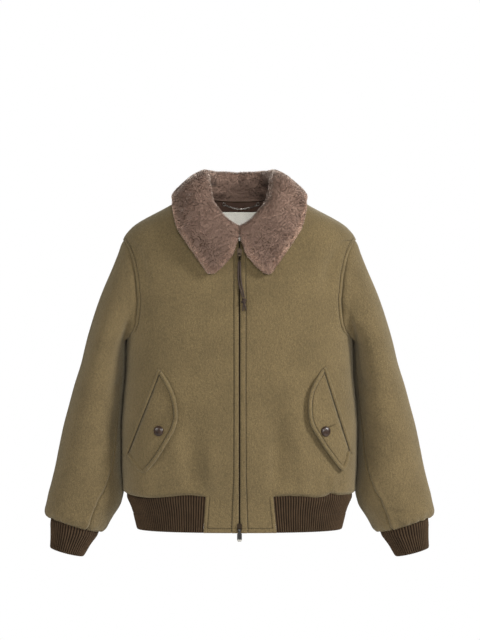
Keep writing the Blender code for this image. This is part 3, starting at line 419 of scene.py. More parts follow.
def make_mesh(name, points, faces, look, uv=None, polish=True):
    """An object from points in millimetres and an array, or a list of arrays, of faces."""
    groups = [np.asarray(f, np.int32) for f in (faces if isinstance(faces, list) else [faces])]
    loops = np.concatenate([g.reshape(-1) for g in groups])
    sizes = np.concatenate([np.full(len(g), g.shape[1], np.int32) for g in groups])
    mesh = bpy.data.meshes.new(name)
    mesh.vertices.add(len(points))
    mesh.vertices.foreach_set("co", world(points).astype(np.float32).reshape(-1))
    mesh.loops.add(len(loops))
    mesh.loops.foreach_set("vertex_index", loops)
    mesh.polygons.add(len(sizes))
    mesh.polygons.foreach_set("loop_start", np.cumsum(sizes, dtype=np.int32) - sizes)
    if uv is not None:
        layer = mesh.uv_layers.new(name="cloth")
        layer.data.foreach_set("uv", np.asarray(uv, np.float32)[loops].reshape(-1))
    mesh.update(calc_edges=True)
    if polish:
        mesh.shade_smooth()
    mesh.materials.append(look)
    return placed(name, mesh)


def lengths_along(points, axis=0):
    """How far each point of a line, or of each line of a grid, is from the line's start."""
    steps = np.linalg.norm(np.diff(points, axis=axis), axis=-1)
    before = [(int(k == axis), 0) for k in range(steps.ndim)]
    return np.pad(np.cumsum(steps, axis=axis), before)


def grid_lengths(grid):
    """Lengths along the rows and up the columns of a grid, in metres, for a weave."""
    across, up = lengths_along(grid, 1), lengths_along(grid, 0)
    return np.stack([across, up], axis=-1).reshape(-1, 2) * MM


def grid_normals(grid, wrap=False):
    """Normals of a grid of points, each square to both ways across the grid."""
    if wrap:
        wide = np.concatenate([grid[:, -1:], grid, grid[:, :1]], axis=1)
        along = np.gradient(wide, axis=1)[:, 1:-1]
    else:
        along = np.gradient(grid, axis=1)
    return unit(np.cross(along, np.gradient(grid, axis=0)))


def outward(normals, points, middle):
    """The normals, turned so that they point away from the middle."""
    side = np.sum(normals * (points - middle), axis=-1)
    return normals if np.median(side) > 0 else -normals


def shell(name, outer, inner, look, sign=1.0, keep=None, wrap=False, uv=None):
    """A cloth wall from two grids of points, with its open edges closed; sign -1 mirrors it."""
    rows, columns = outer.shape[:2]
    ids = np.arange(rows * columns).reshape(rows, columns)
    if wrap:
        ids = np.concatenate([ids, ids[:, :1]], axis=1)
    if keep is None:
        keep = np.ones((rows - 1, ids.shape[1] - 1), bool)
    count = rows * columns
    corners = (ids[:-1, :-1], ids[:-1, 1:], ids[1:, 1:], ids[1:, :-1])
    quads = np.stack(corners, axis=-1)[keep]
    walls = []

    def rim(first, second, chosen):
        a, b = first[chosen], second[chosen]
        walls.append(np.stack([b, a, a + count, b + count], axis=-1))

    padded = np.pad(keep, 1)
    if wrap:
        padded[:, 0], padded[:, -1] = padded[:, -2], padded[:, 1]
    below, above = padded[:-1, 1:-1], padded[1:, 1:-1]
    rim(ids[:, :-1], ids[:, 1:], above & ~below)
    rim(ids[:, 1:], ids[:, :-1], below & ~above)
    before, after = padded[1:-1, :-1], padded[1:-1, 1:]
    rim(ids[1:], ids[:-1], after & ~before)
    rim(ids[:-1], ids[1:], before & ~after)
    faces = np.concatenate([quads, quads[:, ::-1] + count, *walls])
    points = np.concatenate([outer.reshape(-1, 3), inner.reshape(-1, 3)]) * (sign, 1, 1)
    a, b, c, d = (points[quads[:, k]] for k in range(4))
    facing = np.cross(c - a, d - b)
    way = points[quads[:, 0]] - points[quads[:, 0] + count]
    if np.sum(facing * way) < 0:
        faces = faces[:, ::-1]
    lengths = grid_lengths(outer) if uv is None else uv.reshape(-1, 2)
    return make_mesh(name, points, faces, look, uv=np.concatenate([lengths, lengths]))


def spaced(low, high, gap):
    """Even places from low to high, about a gap apart."""
    return np.linspace(low, high, max(int(round((high - low) / gap)), 1) + 1)


TRIAL_SHARES = np.linspace(0, 1, 161)[None, :]  # places at which rows are first measured


def evened(point_at, targets_of, rows):
    """For each row of points, the places whose lengths along the row are the targets."""
    lengths = lengths_along(point_at(np.repeat(TRIAL_SHARES, rows, 0)), 1)
    targets = np.array([targets_of(r, lengths[r, -1]) for r in range(rows)])
    found = [np.interp(t, s, TRIAL_SHARES[0]) for t, s in zip(targets, lengths)]
    return np.array(found), targets, lengths[:, -1]


# ---------------------------------------------------------------- materials


class Look:
    """A material under construction, with short calls for its nodes."""

    def __init__(self, name, colour, roughness, metallic=0.0):
        self.material = bpy.data.materials.new(name)
        self.material.use_nodes = True
        self.nodes = self.material.node_tree.nodes
        self.links = self.material.node_tree.links
        self.surface = self.nodes["Principled BSDF"]
        self.set(**{"Base Color": (*colour, 1.0), "Roughness": roughness, "Metallic": metallic})
        coordinates = self.nodes.new("ShaderNodeTexCoord")
        self.place, self.uv = coordinates.outputs["Object"], coordinates.outputs["UV"]

    def set(self, **values):
        for name, value in values.items():
            self.surface.inputs[name].default_value = value

    def feed(self, socket, source):
        self.links.new(source, self.surface.inputs[socket])

    def noise(self, scale, detail=2.0, rough=0.5, place=None):
        node = self.nodes.new("ShaderNodeTexNoise")
        node.inputs["Scale"].default_value = scale
        node.inputs["Detail"].default_value = detail
        node.inputs["Roughness"].default_value = rough
        self.links.new(place or self.place, node.inputs["Vector"])
        return node.outputs["Fac"]

    def stretched(self, scale):
        node = self.nodes.new("ShaderNodeMapping")
        node.inputs["Scale"].default_value = scale
        self.links.new(self.place, node.inputs["Vector"])
        return node.outputs["Vector"]

    def wave(self, scale, direction, place, distortion=0.0):
        node = self.nodes.new("ShaderNodeTexWave")
        node.bands_direction = direction
        node.inputs["Scale"].default_value = scale
        node.inputs["Distortion"].default_value = distortion
        self.links.new(place, node.inputs["Vector"])
        return node.outputs["Fac"]

    def ramp(self, source, stops):
        node = self.nodes.new("ShaderNodeValToRGB")
        elements = node.color_ramp.elements
        while len(elements) < len(stops):
            elements.new(0.5)
        for element, (place, colour) in zip(elements, stops):
            element.position = place
            element.color = (*colour, 1.0) if np.ndim(colour) else (colour, colour, colour, 1.0)
        self.links.new(source, node.inputs["Fac"])
        return node.outputs["Color"]

    def split(self, source):
        node = self.nodes.new("ShaderNodeSeparateXYZ")
        self.links.new(source, node.inputs[0])
        return node.outputs

    def mix(self, share, first, second, blend="MIX"):
        node = self.nodes.new("ShaderNodeMix")
        node.data_type = "RGBA"
        node.blend_type = blend
        for index, value in ((0, share), (6, first), (7, second)):
            if isinstance(value, bpy.types.NodeSocket):
                self.links.new(value, node.inputs[index])
            else:
                node.inputs[index].default_value = value if index == 0 else (*value, 1.0)
        return node.outputs[2]

    def times(self, first, second):
        return self.mix(1.0, first, second, "MULTIPLY")

    def sheen(self, weight, roughness, tint):
        self.set(**{"Sheen Weight": weight, "Sheen Roughness": roughness,
                    "Sheen Tint": (*tint, 1.0)})

    def raise_by(self, *layers):
        """Bumps: pairs of a height and how far it stands out, in metres. The last step."""
        last = None
        for source, distance in layers:
            node = self.nodes.new("ShaderNodeBump")
            node.inputs["Strength"].default_value = 1.0
            node.inputs["Distance"].default_value = distance
            self.links.new(source, node.inputs["Height"])
            if last is not None:
                self.links.new(last, node.inputs["Normal"])
            last = node.outputs["Normal"]
        self.feed("Normal", last)
        return self.material


def shade(colour, factor):
    return tuple(c * factor for c in colour)


def melton(name, colour):
    """Felted wool: fine fibres, faint cloudy shading and a soft nap."""
    look = Look(name, colour, 0.95)
    fibres = look.noise(1500, 3.0, 0.7)
    nap = look.noise(760, 3.0, 0.65, place=look.stretched((1.0, 1.0, 0.55)))
    felt = look.noise(300, 2.0, 0.6, place=look.stretched((1.0, 1.0, 0.6)))
    clouds = look.noise(14, 3.0, 0.55)
    base = look.ramp(fibres, ((0.30, shade(colour, 0.5)), (0.5, colour),
                              (0.72, shade(colour, 1.65))))
    base = look.mix(0.6, base, look.ramp(nap, ((0.36, shade(colour, 0.6)),
                                               (0.64, shade(colour, 1.42)))))
    base = look.times(base, look.ramp(felt, ((0.34, 0.88), (0.66, 1.1))))
    tone = look.ramp(clouds, ((0.35, 0.90), (0.65, 1.08)))
    look.feed("Base Color", look.times(base, tone))
    look.sheen(0.25, 0.55, (0.75, 0.68, 0.5))
    look.set(**{"Specular IOR Level": 0.15})
    return look.raise_by((felt, 0.0013), (nap, 0.0006), (fibres, 0.00035))


WAVES_TO_ONE = math.pi / 10  # scale at which a wave texture has one band to a unit


def rib_knit(name, colour):
    """Close wool knit in ribs, painted darker in the grooves as shade and lighter on the tops as
    highlight; loops run up each rib.
    """
    look = Look(name, colour, 0.95)
    groove = look.wave(WAVES_TO_ONE, "X", look.uv)
    loops = look.wave(1.0, "Y", look.uv, 1.2)
    fibres = look.noise(1300, 3.0, 0.7)
    clouds = look.noise(60, 2.0)
    base = look.ramp(fibres, ((0.3, shade(colour, 0.65)), (0.7, shade(colour, 1.45))))
    tone = look.ramp(clouds, ((0.35, 0.88), (0.65, 1.12)))
    # Painted light and shade: the ribs' tops are lightened and their grooves darkened
    deep = look.ramp(groove, ((0.0, 1.4), (0.5, 1.05), (0.85, 0.3), (1.0, 0.2)))
    look.feed("Base Color", look.times(look.times(base, tone), deep))
    look.sheen(0.15, 0.5, (0.8, 0.6, 0.4))
    look.set(**{"Specular IOR Level": 0.1})
    return look.raise_by((loops, 0.0002), (fibres, 0.0003))


def twill(name, colour, scale=300.0, depth=0.00015, roughness=0.8):
    """A smooth weave of slanting lines."""
    look = Look(name, colour, roughness)
    lines = look.wave(scale, "DIAGONAL", look.uv)
    clouds = look.noise(40, 3.0)
    base = look.ramp(lines, ((0.2, shade(colour, 0.8)), (0.8, shade(colour, 1.15))))
    tone = look.ramp(clouds, ((0.35, 0.9), (0.65, 1.08)))
    look.feed("Base Color", look.times(base, tone))
    look.set(**{"Specular IOR Level": 0.25})
    return look.raise_by((lines, depth))


def pile(name, colour, tip):
    """Strands of sheared fur: darker at the root, as painted shade deep in the pile, and paler
    at the tip.

    The strands' coordinates give each one's random tone, with a painted highlight along the rim
    and painted shade inside the neck (across), and the way to its tip (up)."""
    look = Look(name, colour, 0.75)
    tone_and_painted_light, height, _ = look.split(look.uv)
    # Painted shade: the roots are darkened, deep in the pile
    along = look.ramp(height, ((0.0, shade(colour, 0.72)), (0.5, colour), (1.0, tip)))
    patches = look.noise(34, 3.0, 0.55)
    clouds = look.noise(120, 2.0, 0.5)
    # Painted light: strands on the rim are paler, those inside the neck darker, beside each one's
    # random tone
    painted_light_and_tone = look.ramp(tone_and_painted_light, ((0.0, 0.42), (0.2, 0.8), (0.5, 1.0), (1.0, (2.3, 2.3, 2.2))))
    tone = look.ramp(patches, ((0.36, (0.72, 0.67, 0.66)), (0.64, (1.16, 1.16, 1.18))))
    flecks = look.ramp(clouds, ((0.33, 0.86), (0.67, 1.12)))
    look.feed("Base Color", look.times(look.times(look.times(along, tone), flecks), painted_light_and_tone))
    look.sheen(0.5, 0.4, (0.9, 0.78, 0.68))
    look.set(**{"Specular IOR Level": 0.1})
    return look.material


def fur_skin(name, colour):
    """The pile under the strands, painted somewhat darker than them as the shade between the strands.
    """
    look = Look(name, shade(colour, 0.5), 0.9)
    clumps = look.noise(420, 3.0, 0.7)
    # Painted shade: 0.6 to 1.0 of the fur's colour, in random clumps
    base = look.ramp(clumps, ((0.3, shade(colour, 0.6)), (0.7, colour)))
    look.feed("Base Color", base)
    return look.raise_by((clumps, 0.001))


def hide(name, colour, roughness):
    """Smooth leather with a fine grain and rubbed high places."""
    look = Look(name, colour, roughness)
    grain = look.noise(900, 4.0, 0.6)
    wear = look.noise(120, 3.0, 0.6)
    rubbed = look.ramp(wear, ((0.3, shade(colour, 0.65)), (0.7, shade(colour, 1.5))))
    look.feed("Base Color", rubbed)
    look.set(**{"Specular IOR Level": 0.4})
    return look.raise_by((grain, 0.00015))


def metal(name, colour, roughness):
    """Metal that is a little stained, and duller in its stains."""
    look = Look(name, colour, roughness, 1.0)
    stains = look.noise(350, 4.0, 0.7)
    stained = look.ramp(stains, ((0.3, shade(colour, 0.6)), (0.7, shade(colour, 1.3))))
    dulled = look.ramp(stains, ((0.3, roughness + 0.12), (0.7, roughness - 0.06)))
    look.feed("Base Color", stained)
    look.feed("Roughness", dulled)
    return look.raise_by((stains, 0.00004))


TAB_TIP = 0.0042  # length of the bare metal at the pull tab's end, in metres
TAB_BLACK = (0.012, 0.011, 0.010)
TAB_BARE = (0.55, 0.53, 0.48)


def tipped_tab(node):
    """A dark tab whose lower end is bare metal."""
    look = Look("dark_tab", TAB_BLACK, 0.35)
    foot = min(corner[2] for corner in node.bound_box)
    below = look.nodes.new("ShaderNodeMath")
    below.operation = "LESS_THAN"
    below.inputs[1].default_value = foot + TAB_TIP
    look.links.new(look.split(look.place)[2], below.inputs[0])
    tip = below.outputs[0]
    look.feed("Base Color", look.mix(tip, TAB_BLACK, TAB_BARE))
    look.feed("Metallic", tip)
    return look.material


OLIVE = (0.111, 0.080, 0.0368)
SLEEVE_OLIVE = (0.111 * 0.99, 0.080 * 0.99, 0.0368)
RIB_BROWN = (0.0345, 0.0210, 0.0114)
FUR_TAUPE = (0.262, 0.168, 0.124)
FUR_TIP = (0.41, 0.29, 0.225)
FACING_BROWN = (0.066, 0.036, 0.024)
CREAM = (0.94, 0.91, 0.81)
BRONZE = (0.055, 0.04, 0.028)
STEEL = (0.46, 0.42, 0.38)
LEATHER = (0.042, 0.023, 0.014)
THREAD = (0.035, 0.026, 0.015)


# ---------------------------------------------------------------- set-up of the pieces

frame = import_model()


def dress(piece, *nodes, body="jacket", slot=None):
    """The piece rides on a body and stands for the named solids."""
    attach(piece, body)
    if nodes:
        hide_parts(*nodes)
    return piece


SIDES = (("left", 1.0), ("right", -1.0))


# ---------------------------------------------------------------- small folds

# Soft creases: where each starts and ends (distance from the centre line, + at the wearer's
# left, and height), its half width and how far it stands out
FRONT_CREASES = {
    "from_across": (-100, -62, -140, -188, 72, 92, 128, 170, 184, 196, -60, 66, 120, -128, 148,
                    -155, 62, -108),
    "from_height": (78, 82, 84, 15, 80, 78, 84, 74, 74, 74, 300, 330, 420, 440, 72, 325, 74,
                    110),
    "to_across":   (-84, -56, -150, -198, 78, 84, 146, 176, 182, 200, -110, 120, 175, -178, 142,
                    -129, 60, -104),
    "to_height":   (260, 210, 150, 190, 250, 170, 170, 128, 124, 140, 420, 455, 350, 380, 120,
                    297, 330, 330),
    "half_width":  (11, 10, 12, 30, 11, 9, 12, 7, 5, 10, 16, 16, 14, 14, 6, 3.5, 22, 15),
    "rise":        (-3.4, 1.6, 1.2, 8.5, -3.4, 1.2, 1.8, -1.8, 1.6, -1.6, 1.0, 1.0, -1.2, -1.2,
                    -1.2, -1.6, -6.5, -4.6),
}  # fmt: skip
BACK_CREASES = {
    "from_across": (-150, -96, -30, 48, 112, 160, -170, 175, 60, -70),
    "from_height": (80, 84, 78, 82, 80, 86, 360, 350, 560, 570),
    "to_across":   (-160, -88, -34, 40, 120, 172, -120, 120, 130, -140),
    "to_height":   (200, 240, 180, 230, 210, 170, 300, 280, 480, 490),
    "half_width":  (10, 12, 9, 10, 12, 9, 14, 15, 16, 16),
    "rise":        (1.4, -2.2, 1.2, -1.8, 1.6, -1.4, -1.6, -1.7, 0.9, 0.9),
}  # fmt: skip


def creases(table, x, z):
    """How far the creases of a table stand out at a place."""
    moved = np.zeros(np.broadcast(x, z).shape)
    for x0, z0, x1, z1, half_width, rise in zip(*table.values()):
        length = math.hypot(x1 - x0, z1 - z0)
        along = ((x - x0) * (x1 - x0) + (z - z0) * (z1 - z0)) / length
        away = ((x - x0) * (z1 - z0) - (z - z0) * (x1 - x0)) / length
        share = np.clip(along / length, 0, 1)
        lift = np.sin(np.pi * share**0.7) ** 1.5
        moved += rise * lift * bump(away, 0, half_width) * bump(along - share * length, 0, 6)
    return moved


SEAM_DEPTH = 1.6  # how far cloth turns down into a seam
FAR = 1e3  # a distance at which no seam is felt


def stitched_band(s, width, rise, groove, depth=0.6):
    """A doubled edge: rounded where it ends, raised as far as its stitches, then sunk."""
    band = rise * (1 - step_up(s, width - 1.6, width + 0.4))
    return band - (rise + depth) * np.exp(-s / 0.9) - groove * bump(s, width + 0.4, 0.9)


def beaded(s, width, rise, groove):
    """A doubled edge stuffed round, like stitched_band."""
    share = np.clip(s / width, 0, 1)
    bead = rise * (1 - np.abs(2 * share - 1) ** 2.6) - 0.6 * np.exp(-s / 0.7)
    return np.where(s < width, bead, 0) - groove * bump(s, width + 0.3, 1.0)


def towards_seam(normals, edge_height, from_arm, front):
    """Normals of a panel, turned near the armhole to the way out of its seam."""
    share = np.clip((edge_height - ARM_MIDDLE) / ARM_REACH, -1, 1)
    angle = np.degrees(np.arccos(share)) * (1 if front else -1)
    beside = (edge_height >= UNDERARM) & (edge_height <= SHOULDER_POINT)
    weight = (np.exp(-from_arm / 2.5) * beside)[..., None]
    return unit(normals * (1 - weight) + seam_out(angle) * weight)


def turned_seam(s, depth, width=1.8):
    """Cloth that turns down into a plain seam."""
    return -depth * np.exp(-((s / width) ** 2))


def in_armhole(edge_height):
    """1 on the rows of a panel that end in the armhole's seam, and 0 below and above it."""
    share = step_up(edge_height, UNDERARM + 2, UNDERARM + 14)
    return share * (1 - step_up(edge_height, SHOULDER_POINT + 1, SHOULDER_POINT + 6))


# ---------------------------------------------------------------- fronts and back

EDGE_BAND = {"right": (8.4, 7.6, 8.0, 12.5), "left": (10.0, 9.4, 10.0, 13.2)}
EDGE_BAND_HEIGHTS = (560, 300, 110, 10)
EDGE_ROLL = 1.3  # how far the cloth's edges bulge over the zip
ARM_BAND = 8.0
ARM_HOLLOW = {"left": (6.5, 36, 18), "right": (3.2, 24, 13)}  # depth, from the seam, half width
ARM_HOLLOW_HEIGHT = (520, 50)  # its middle and half its height
BLOCK_SIDE_BAND = 7.0
BLOCK_FOOT_BAND = 8.5
FRONT_HEM_WAVE = {
    "across": (-230, -190, -172, -140, -106, -70, 66, 122, 152, 170, 180, 195, 222),
    "lift":   (0.6, -1.8, -3.6, -2.0, 1.6, 2.0, 1.2, -0.6, -3.6, -1.8, 3.4, -0.4, -1.6),
}  # fmt: skip
BACK_HEM_WAVE = {
    "across": (-230, -180, -120, -60, 0, 70, 130, 185, 230),
    "lift":   (0.6, -2.4, 1.8, -3.0, 2.0, -2.6, 2.2, -3.0, -1.6),
}  # fmt: skip

# Where the points of a panel stand, across and up: close together at the sewing
FROM_EDGE = np.array([0, 0.4, 0.9, 1.6, 2.6, 4.0, 5.6])
FROM_BAND = np.array([-1.8, -1.0, -0.3, 0.3, 0.9, 1.7, 2.8])
INSIDE_COLUMNS = 12
FROM_BLOCK = np.array([11, 9.4, 8.4, 7.7, 7.1, 6.4, 5.4, 4, 2.6, 1.4, 0.6, 0])
MIDDLE_COLUMNS = 34
FROM_ARM = np.array([15, 12, 10.2, 9.4, 8.8, 8.2, 7.6, 6.8, 5.6, 4, 2.6, 1.5, 0.7, 0.3, 0])
BLOCK_COLUMN = len(FROM_EDGE) + len(FROM_BAND) + INSIDE_COLUMNS + len(FROM_BLOCK) - 1
BLOCK_HEIGHTS = np.array([0, 0.5, 1.2, 2.4, 4, 6, 7.4, 8.2, 8.9, 9.6, 10.6, 13, 17, 22, 28, 34,
                          40, 46, 52, 58, 64, 68, 71])
LOW_HEIGHTS = (72, 72.6, 73.4, 74.6, 76.4, 79, 82, 86, *np.arange(90, 381, 4.5))
PANEL_ROWS = np.concatenate([np.interp(LOW_HEIGHTS, BODY_ROWS, range(len(BODY_ROWS))),
                             spaced(len(BODY_ROWS) - 1, PANEL_LAST, 0.2)[1:]])


def edge_band(side, height):
    """Width of the doubled edge along the zip."""
    return np.interp(-height, [-h for h in EDGE_BAND_HEIGHTS], EDGE_BAND[side])


def front_columns(block, length, band):
    """Places across a front in millimetres from its edge, from its block's and band's width."""
    sewing, side, arm = band + FROM_BAND, block - FROM_BLOCK, length - FROM_ARM
    inside = np.linspace(sewing[-1] + 2.5, side[0] - 3, INSIDE_COLUMNS)
    middle = np.linspace(block, arm[0], MIDDLE_COLUMNS + 2)[1:-1]
    return np.concatenate([FROM_EDGE, sewing, inside, side, middle, arm])


def front_grid(side):
    """Points of a front on +X with their lengths from the front edge, the block's width, each
    row's whole length above the block, and where the grid is cloth."""
    low = BLOCK_HEIGHTS

    def panel(share):
        return panel_point(share, PANEL_ROWS[:, None], True, FRONT_EDGE)

    def block_at(share):
        start = angle_at(FRONT_EDGE, low)[:, None]
        return body_point(start + share * (90 - start), low[:, None], True)

    foot = block_at(TRIAL_SHARES)
    foot_lengths = lengths_along(foot, 1)
    block_low = [np.interp(block_edge(side, z) - SEAM / 2, foot[r, :, 0], foot_lengths[r])
                 for r, z in enumerate(low)]
    top_row = panel(TRIAL_SHARES)[0]
    top_lengths = lengths_along(top_row)
    block_top = np.interp(block_edge(side, HEM_SEAM), top_row[:, 0], top_lengths)

    def low_targets(r, length):
        return front_columns(block_low[r], length, edge_band(side, low[r]))

    def high_targets(r, length):
        block = block_top * length / top_lengths[-1]
        height = panel_heights(PANEL_ROWS[r], True)[0]
        return front_columns(block, length, edge_band(side, height))

    found_low, s_low, _ = evened(block_at, low_targets, len(low))
    found, s, lengths = evened(panel, high_targets, len(PANEL_ROWS))
    grid = np.concatenate([block_at(found_low), panel(found)])
    keep = np.ones((len(grid) - 1, grid.shape[1] - 1), bool)
    keep[: len(low), BLOCK_COLUMN:] = False
    return grid, np.concatenate([s_low, s]), np.array(block_low), lengths, keep


def hem_drop(wave, x, from_seam):
    """How far the wavy lower edge of the wool hangs below or above its seam."""
    return smooth(wave["across"], wave["lift"], x) * (1 - step_up(from_seam, 0, 22))


def hem_roll(from_seam):
    """The wool bulges where it gathers above the rib and turns down into their seam."""
    return turned_seam(from_seam, 3.6, 3.2) + 2.0 * bump(from_seam, 9, 8)


def front_panel(side, sign, look):
    grid, s, block_low, lengths, keep = front_grid(side)
    low_rows = len(BLOCK_HEIGHTS)
    normals = outward(grid_normals(grid), grid, (100, SIDE_Y, 300))
    x, z = sign * grid[..., 0], grid[..., 2]
    upper = np.arange(len(grid))[:, None] >= low_rows
    from_arm = np.full(s.shape, FAR)
    from_arm[low_rows:] = lengths[:, None] - s[low_rows:]
    edge_high = grid[:, -1, 2][:, None]
    at_arm = in_armhole(edge_high) * upper
    normals = towards_seam(normals, edge_high, from_arm, True)
    moved = creases(FRONT_CREASES, x, z) * step_up(s, 12, 30)
    deep, away, wide = ARM_HOLLOW[side]
    moved -= deep * bump(from_arm, away, wide) * bump(z, *ARM_HOLLOW_HEIGHT)
    moved += stitched_band(s, edge_band(side, z), 1.5, 1.4)
    moved += at_arm * stitched_band(from_arm, ARM_BAND, 1.3, 1.3, SEAM_DEPTH)
    moved += (1 - at_arm) * turned_seam(from_arm, SEAM_DEPTH) * upper
    in_block = np.arange(s.shape[1])[None, :] <= BLOCK_COLUMN
    from_side = np.full(s.shape, FAR)
    from_side[:low_rows] = block_low[:, None] - s[:low_rows]
    moved += np.where(in_block & ~upper, stitched_band(from_side, BLOCK_SIDE_BAND, 0.7, 0.8)
                      + stitched_band(z, BLOCK_FOOT_BAND, 0.7, 0.8), 0)
    from_seam = np.maximum(z - HEM_SEAM, 0)
    moved += np.where(~in_block & upper, hem_roll(from_seam), 0)
    outer = grid + normals * moved[..., None]
    outer[..., 2] += hem_drop(FRONT_HEM_WAVE, x, from_seam) * step_up(np.abs(x), 78, 92) * upper
    outer[..., 0] -= EDGE_ROLL * np.exp(-s / 1.6)
    return shell("wool_front_" + side, outer, outer - normals * DRESSED_WOOL, look, sign, keep)


BACK_COLUMNS = 48  # from the centre of the back to near its armhole


def back_panel(look):
    def panel(share):
        return panel_point(share, PANEL_ROWS[:, None], False, 0.0)

    def targets(_, length):
        arm = length - FROM_ARM
        return np.concatenate([np.linspace(0, arm[0], BACK_COLUMNS)[:-1], arm])

    found, s, lengths = evened(panel, targets, len(PANEL_ROWS))
    half = panel(found)
    grid = np.concatenate([half[:, :0:-1] * (-1, 1, 1), half], axis=1)
    from_arm = lengths[:, None] - s
    from_arm = np.concatenate([from_arm[:, :0:-1], from_arm], axis=1)
    normals = outward(grid_normals(grid), grid, (0, SIDE_Y, 300))
    x, z = grid[..., 0], grid[..., 2]
    edge_high = grid[:, -1, 2][:, None]
    at_arm = in_armhole(edge_high)
    centre = half.shape[1] - 1
    half_normals = towards_seam(normals[:, centre:], edge_high, from_arm[:, centre:], False)
    normals = np.concatenate([half_normals[:, :0:-1] * (-1, 1, 1), half_normals], axis=1)
    moved = creases(BACK_CREASES, x, z)
    moved += at_arm * stitched_band(from_arm, ARM_BAND, 1.3, 1.3, SEAM_DEPTH)
    moved += (1 - at_arm) * turned_seam(from_arm, SEAM_DEPTH)
    from_seam = z - HEM_SEAM
    moved += hem_roll(from_seam)
    outer = grid + normals * moved[..., None]
    outer[..., 2] += hem_drop(BACK_HEM_WAVE, x, from_seam)
    return shell("wool_back", outer, outer - normals * DRESSED_WOOL, look)


# ---------------------------------------------------------------- sleeves

# Soft creases of the sleeves: row and angle at both ends, half width and rise
SLEEVE_CREASES = {
    "from_row":   (0.4, 0.6, 4.2, 5.0, 5.6, 6.4, 7.2, 9.0, 10.2, 11.2, 3.0, 8.2, 12.2, 12.4, 6.0),
    "from_angle": (150, 215, 170, 200, 165, 120, 172, 150, 60, 130, 20, 240, 40, 100, 300),
    "to_row":     (2.6, 2.8, 5.2, 6.2, 5.2, 6.9, 6.4, 10.0, 11.0, 12.4, 4.5, 9.4, 13.4, 13.6, 7.4),
    "to_angle":   (95, 265, 105, 260, 95, 60, 110, 85, 10, 70, 330, 300, 50, 110, 250),
    "half_width": (11, 12, 10, 12, 8, 12, 9, 10, 11, 9, 14, 12, 6, 6, 14),
    "rise":       (-2.0, -2.2, -2.4, -2.2, 1.6, 1.4, -2.0, -1.8, 1.4, -1.8, 1.2, -1.6, -1.4,
                   -1.4, 1.2),
}  # fmt: skip
CREASES_SHARE = {"left": 1.0, "right": 0.9}
ROW_LENGTH = 45.0  # how far apart two rows of the sleeve are, near enough
ARC_LENGTH = 1.1  # and two degrees round it
CAP_HOLLOW = 6.5  # how far a sleeve sinks in front beside its armhole


def sleeve_creases(angle, row):
    moved = np.zeros(angle.shape)
    for r0, a0, r1, a1, half_width, rise in zip(*SLEEVE_CREASES.values()):
        x, z = ((angle - a0 + 180) % 360 - 180) * ARC_LENGTH, (row - r0) * ROW_LENGTH
        x1, z1 = ((a1 - a0 + 180) % 360 - 180) * ARC_LENGTH, (r1 - r0) * ROW_LENGTH
        length = math.hypot(x1, z1)
        along, away = (x * x1 + z * z1) / length, (x * z1 - z * x1) / length
        share = np.clip(along / length, 0, 1)
        lift = np.sin(np.pi * share) ** 1.5 * bump(along - share * length, 0, 5)
        moved += rise * lift * bump(away, 0, half_width)
    return moved


SLEEVE_SIDE_STEPS = np.array([0, 0.03, 0.07, 0.13, 0.2, 0.3])  # close together at the seams
SLEEVE_ROWS = np.concatenate([[0, 0.008, 0.02, 0.04, 0.07, 0.11, 0.16], spaced(0.22, 13.3, 0.13),
                              [13.4, 13.5, 13.6, 13.7, 13.78, 13.85, 13.9, 13.95, 13.98, 14.0]])


def sleeve_piece(side, sign, under, look):
    steps_round = 2 * ARM_STEPS
    back_step = steps_round - SLEEVE_BACK_SEAM
    if under:
        first, last = back_step, steps_round + SLEEVE_FRONT_SEAM
    else:
        first, last = SLEEVE_FRONT_SEAM, back_step
    steps = np.concatenate([first + SLEEVE_SIDE_STEPS, spaced(first + 0.45, last - 0.45, 0.23),
                            last - SLEEVE_SIDE_STEPS[::-1]])
    row = np.repeat(SLEEVE_ROWS[:, None], len(steps), 1)
    angle = sleeve_angle(steps[None, :], row, under)
    grid = sleeve_point(angle, row)
    middle = (sleeve_point(0.0, row[:, :1]) + sleeve_point(180.0, row[:, :1])) / 2
    normals = outward(grid_normals(grid), grid, middle)
    from_first = lengths_along(grid, 1)
    from_last = from_first[:, -1:] - from_first
    from_cap = lengths_along(grid, 0)
    from_cuff = from_cap[-1:] - from_cap
    at_cap = np.exp(-from_cap / 2.5)[..., None]
    normals = unit(normals * (1 - at_cap) + seam_out(angle) * at_cap)
    off_cap = step_up(from_cap, 0, 4)
    angle_round = angle % 360
    moved = sleeve_creases(angle_round, row) * CREASES_SHARE[side]
    lengthwise = turned_seam(from_first, 2.4, 2.0) + turned_seam(from_last, 2.4, 2.0)
    if not under:
        lengthwise += 1.5 * bump(from_first, 6, 4.5)
    moved += lengthwise * off_cap
    moved -= CAP_HOLLOW * bump(from_cap, 22, 14) * bump(angle_round, 136, 26) * off_cap
    head = 0.9 + 1.6 * bump(angle_round, 90, 30)
    moved += turned_seam(from_cap, SEAM_DEPTH, 2.2) + head * bump(from_cap, 13, 9) * off_cap
    puckers = np.sin(np.radians(angle) * 17 + 0.8 * np.sin(np.radians(angle) * 5))
    moved += 1.3 * puckers * bump(from_cuff, 4, 14) * step_up(from_cuff, 0, 3)
    moved += 2.2 * bump(from_cuff, 14, 12) + turned_seam(from_cuff, 3.0, 3.4)
    outer = grid + normals * moved[..., None]
    name = ("wool_under_sleeve_" if under else "wool_top_sleeve_") + side
    return shell(name, outer, outer - normals * DRESSED_WOOL, look, sign)


# ---------------------------------------------------------------- ribbed bands

HEM_RIBS = 198
CUFF_RIBS = 52
POINTS_PER_RIB = 6
RIB_DEPTH = 2.3
HEM_FOLD = 33.0  # height of the seam that runs along the middle of the hem's rib
HEM_FOLD_ROW = 8
HEM_TUCK = 3.4  # how far the rib's top edge goes in behind the wool
MEASURED_PLACES = 721


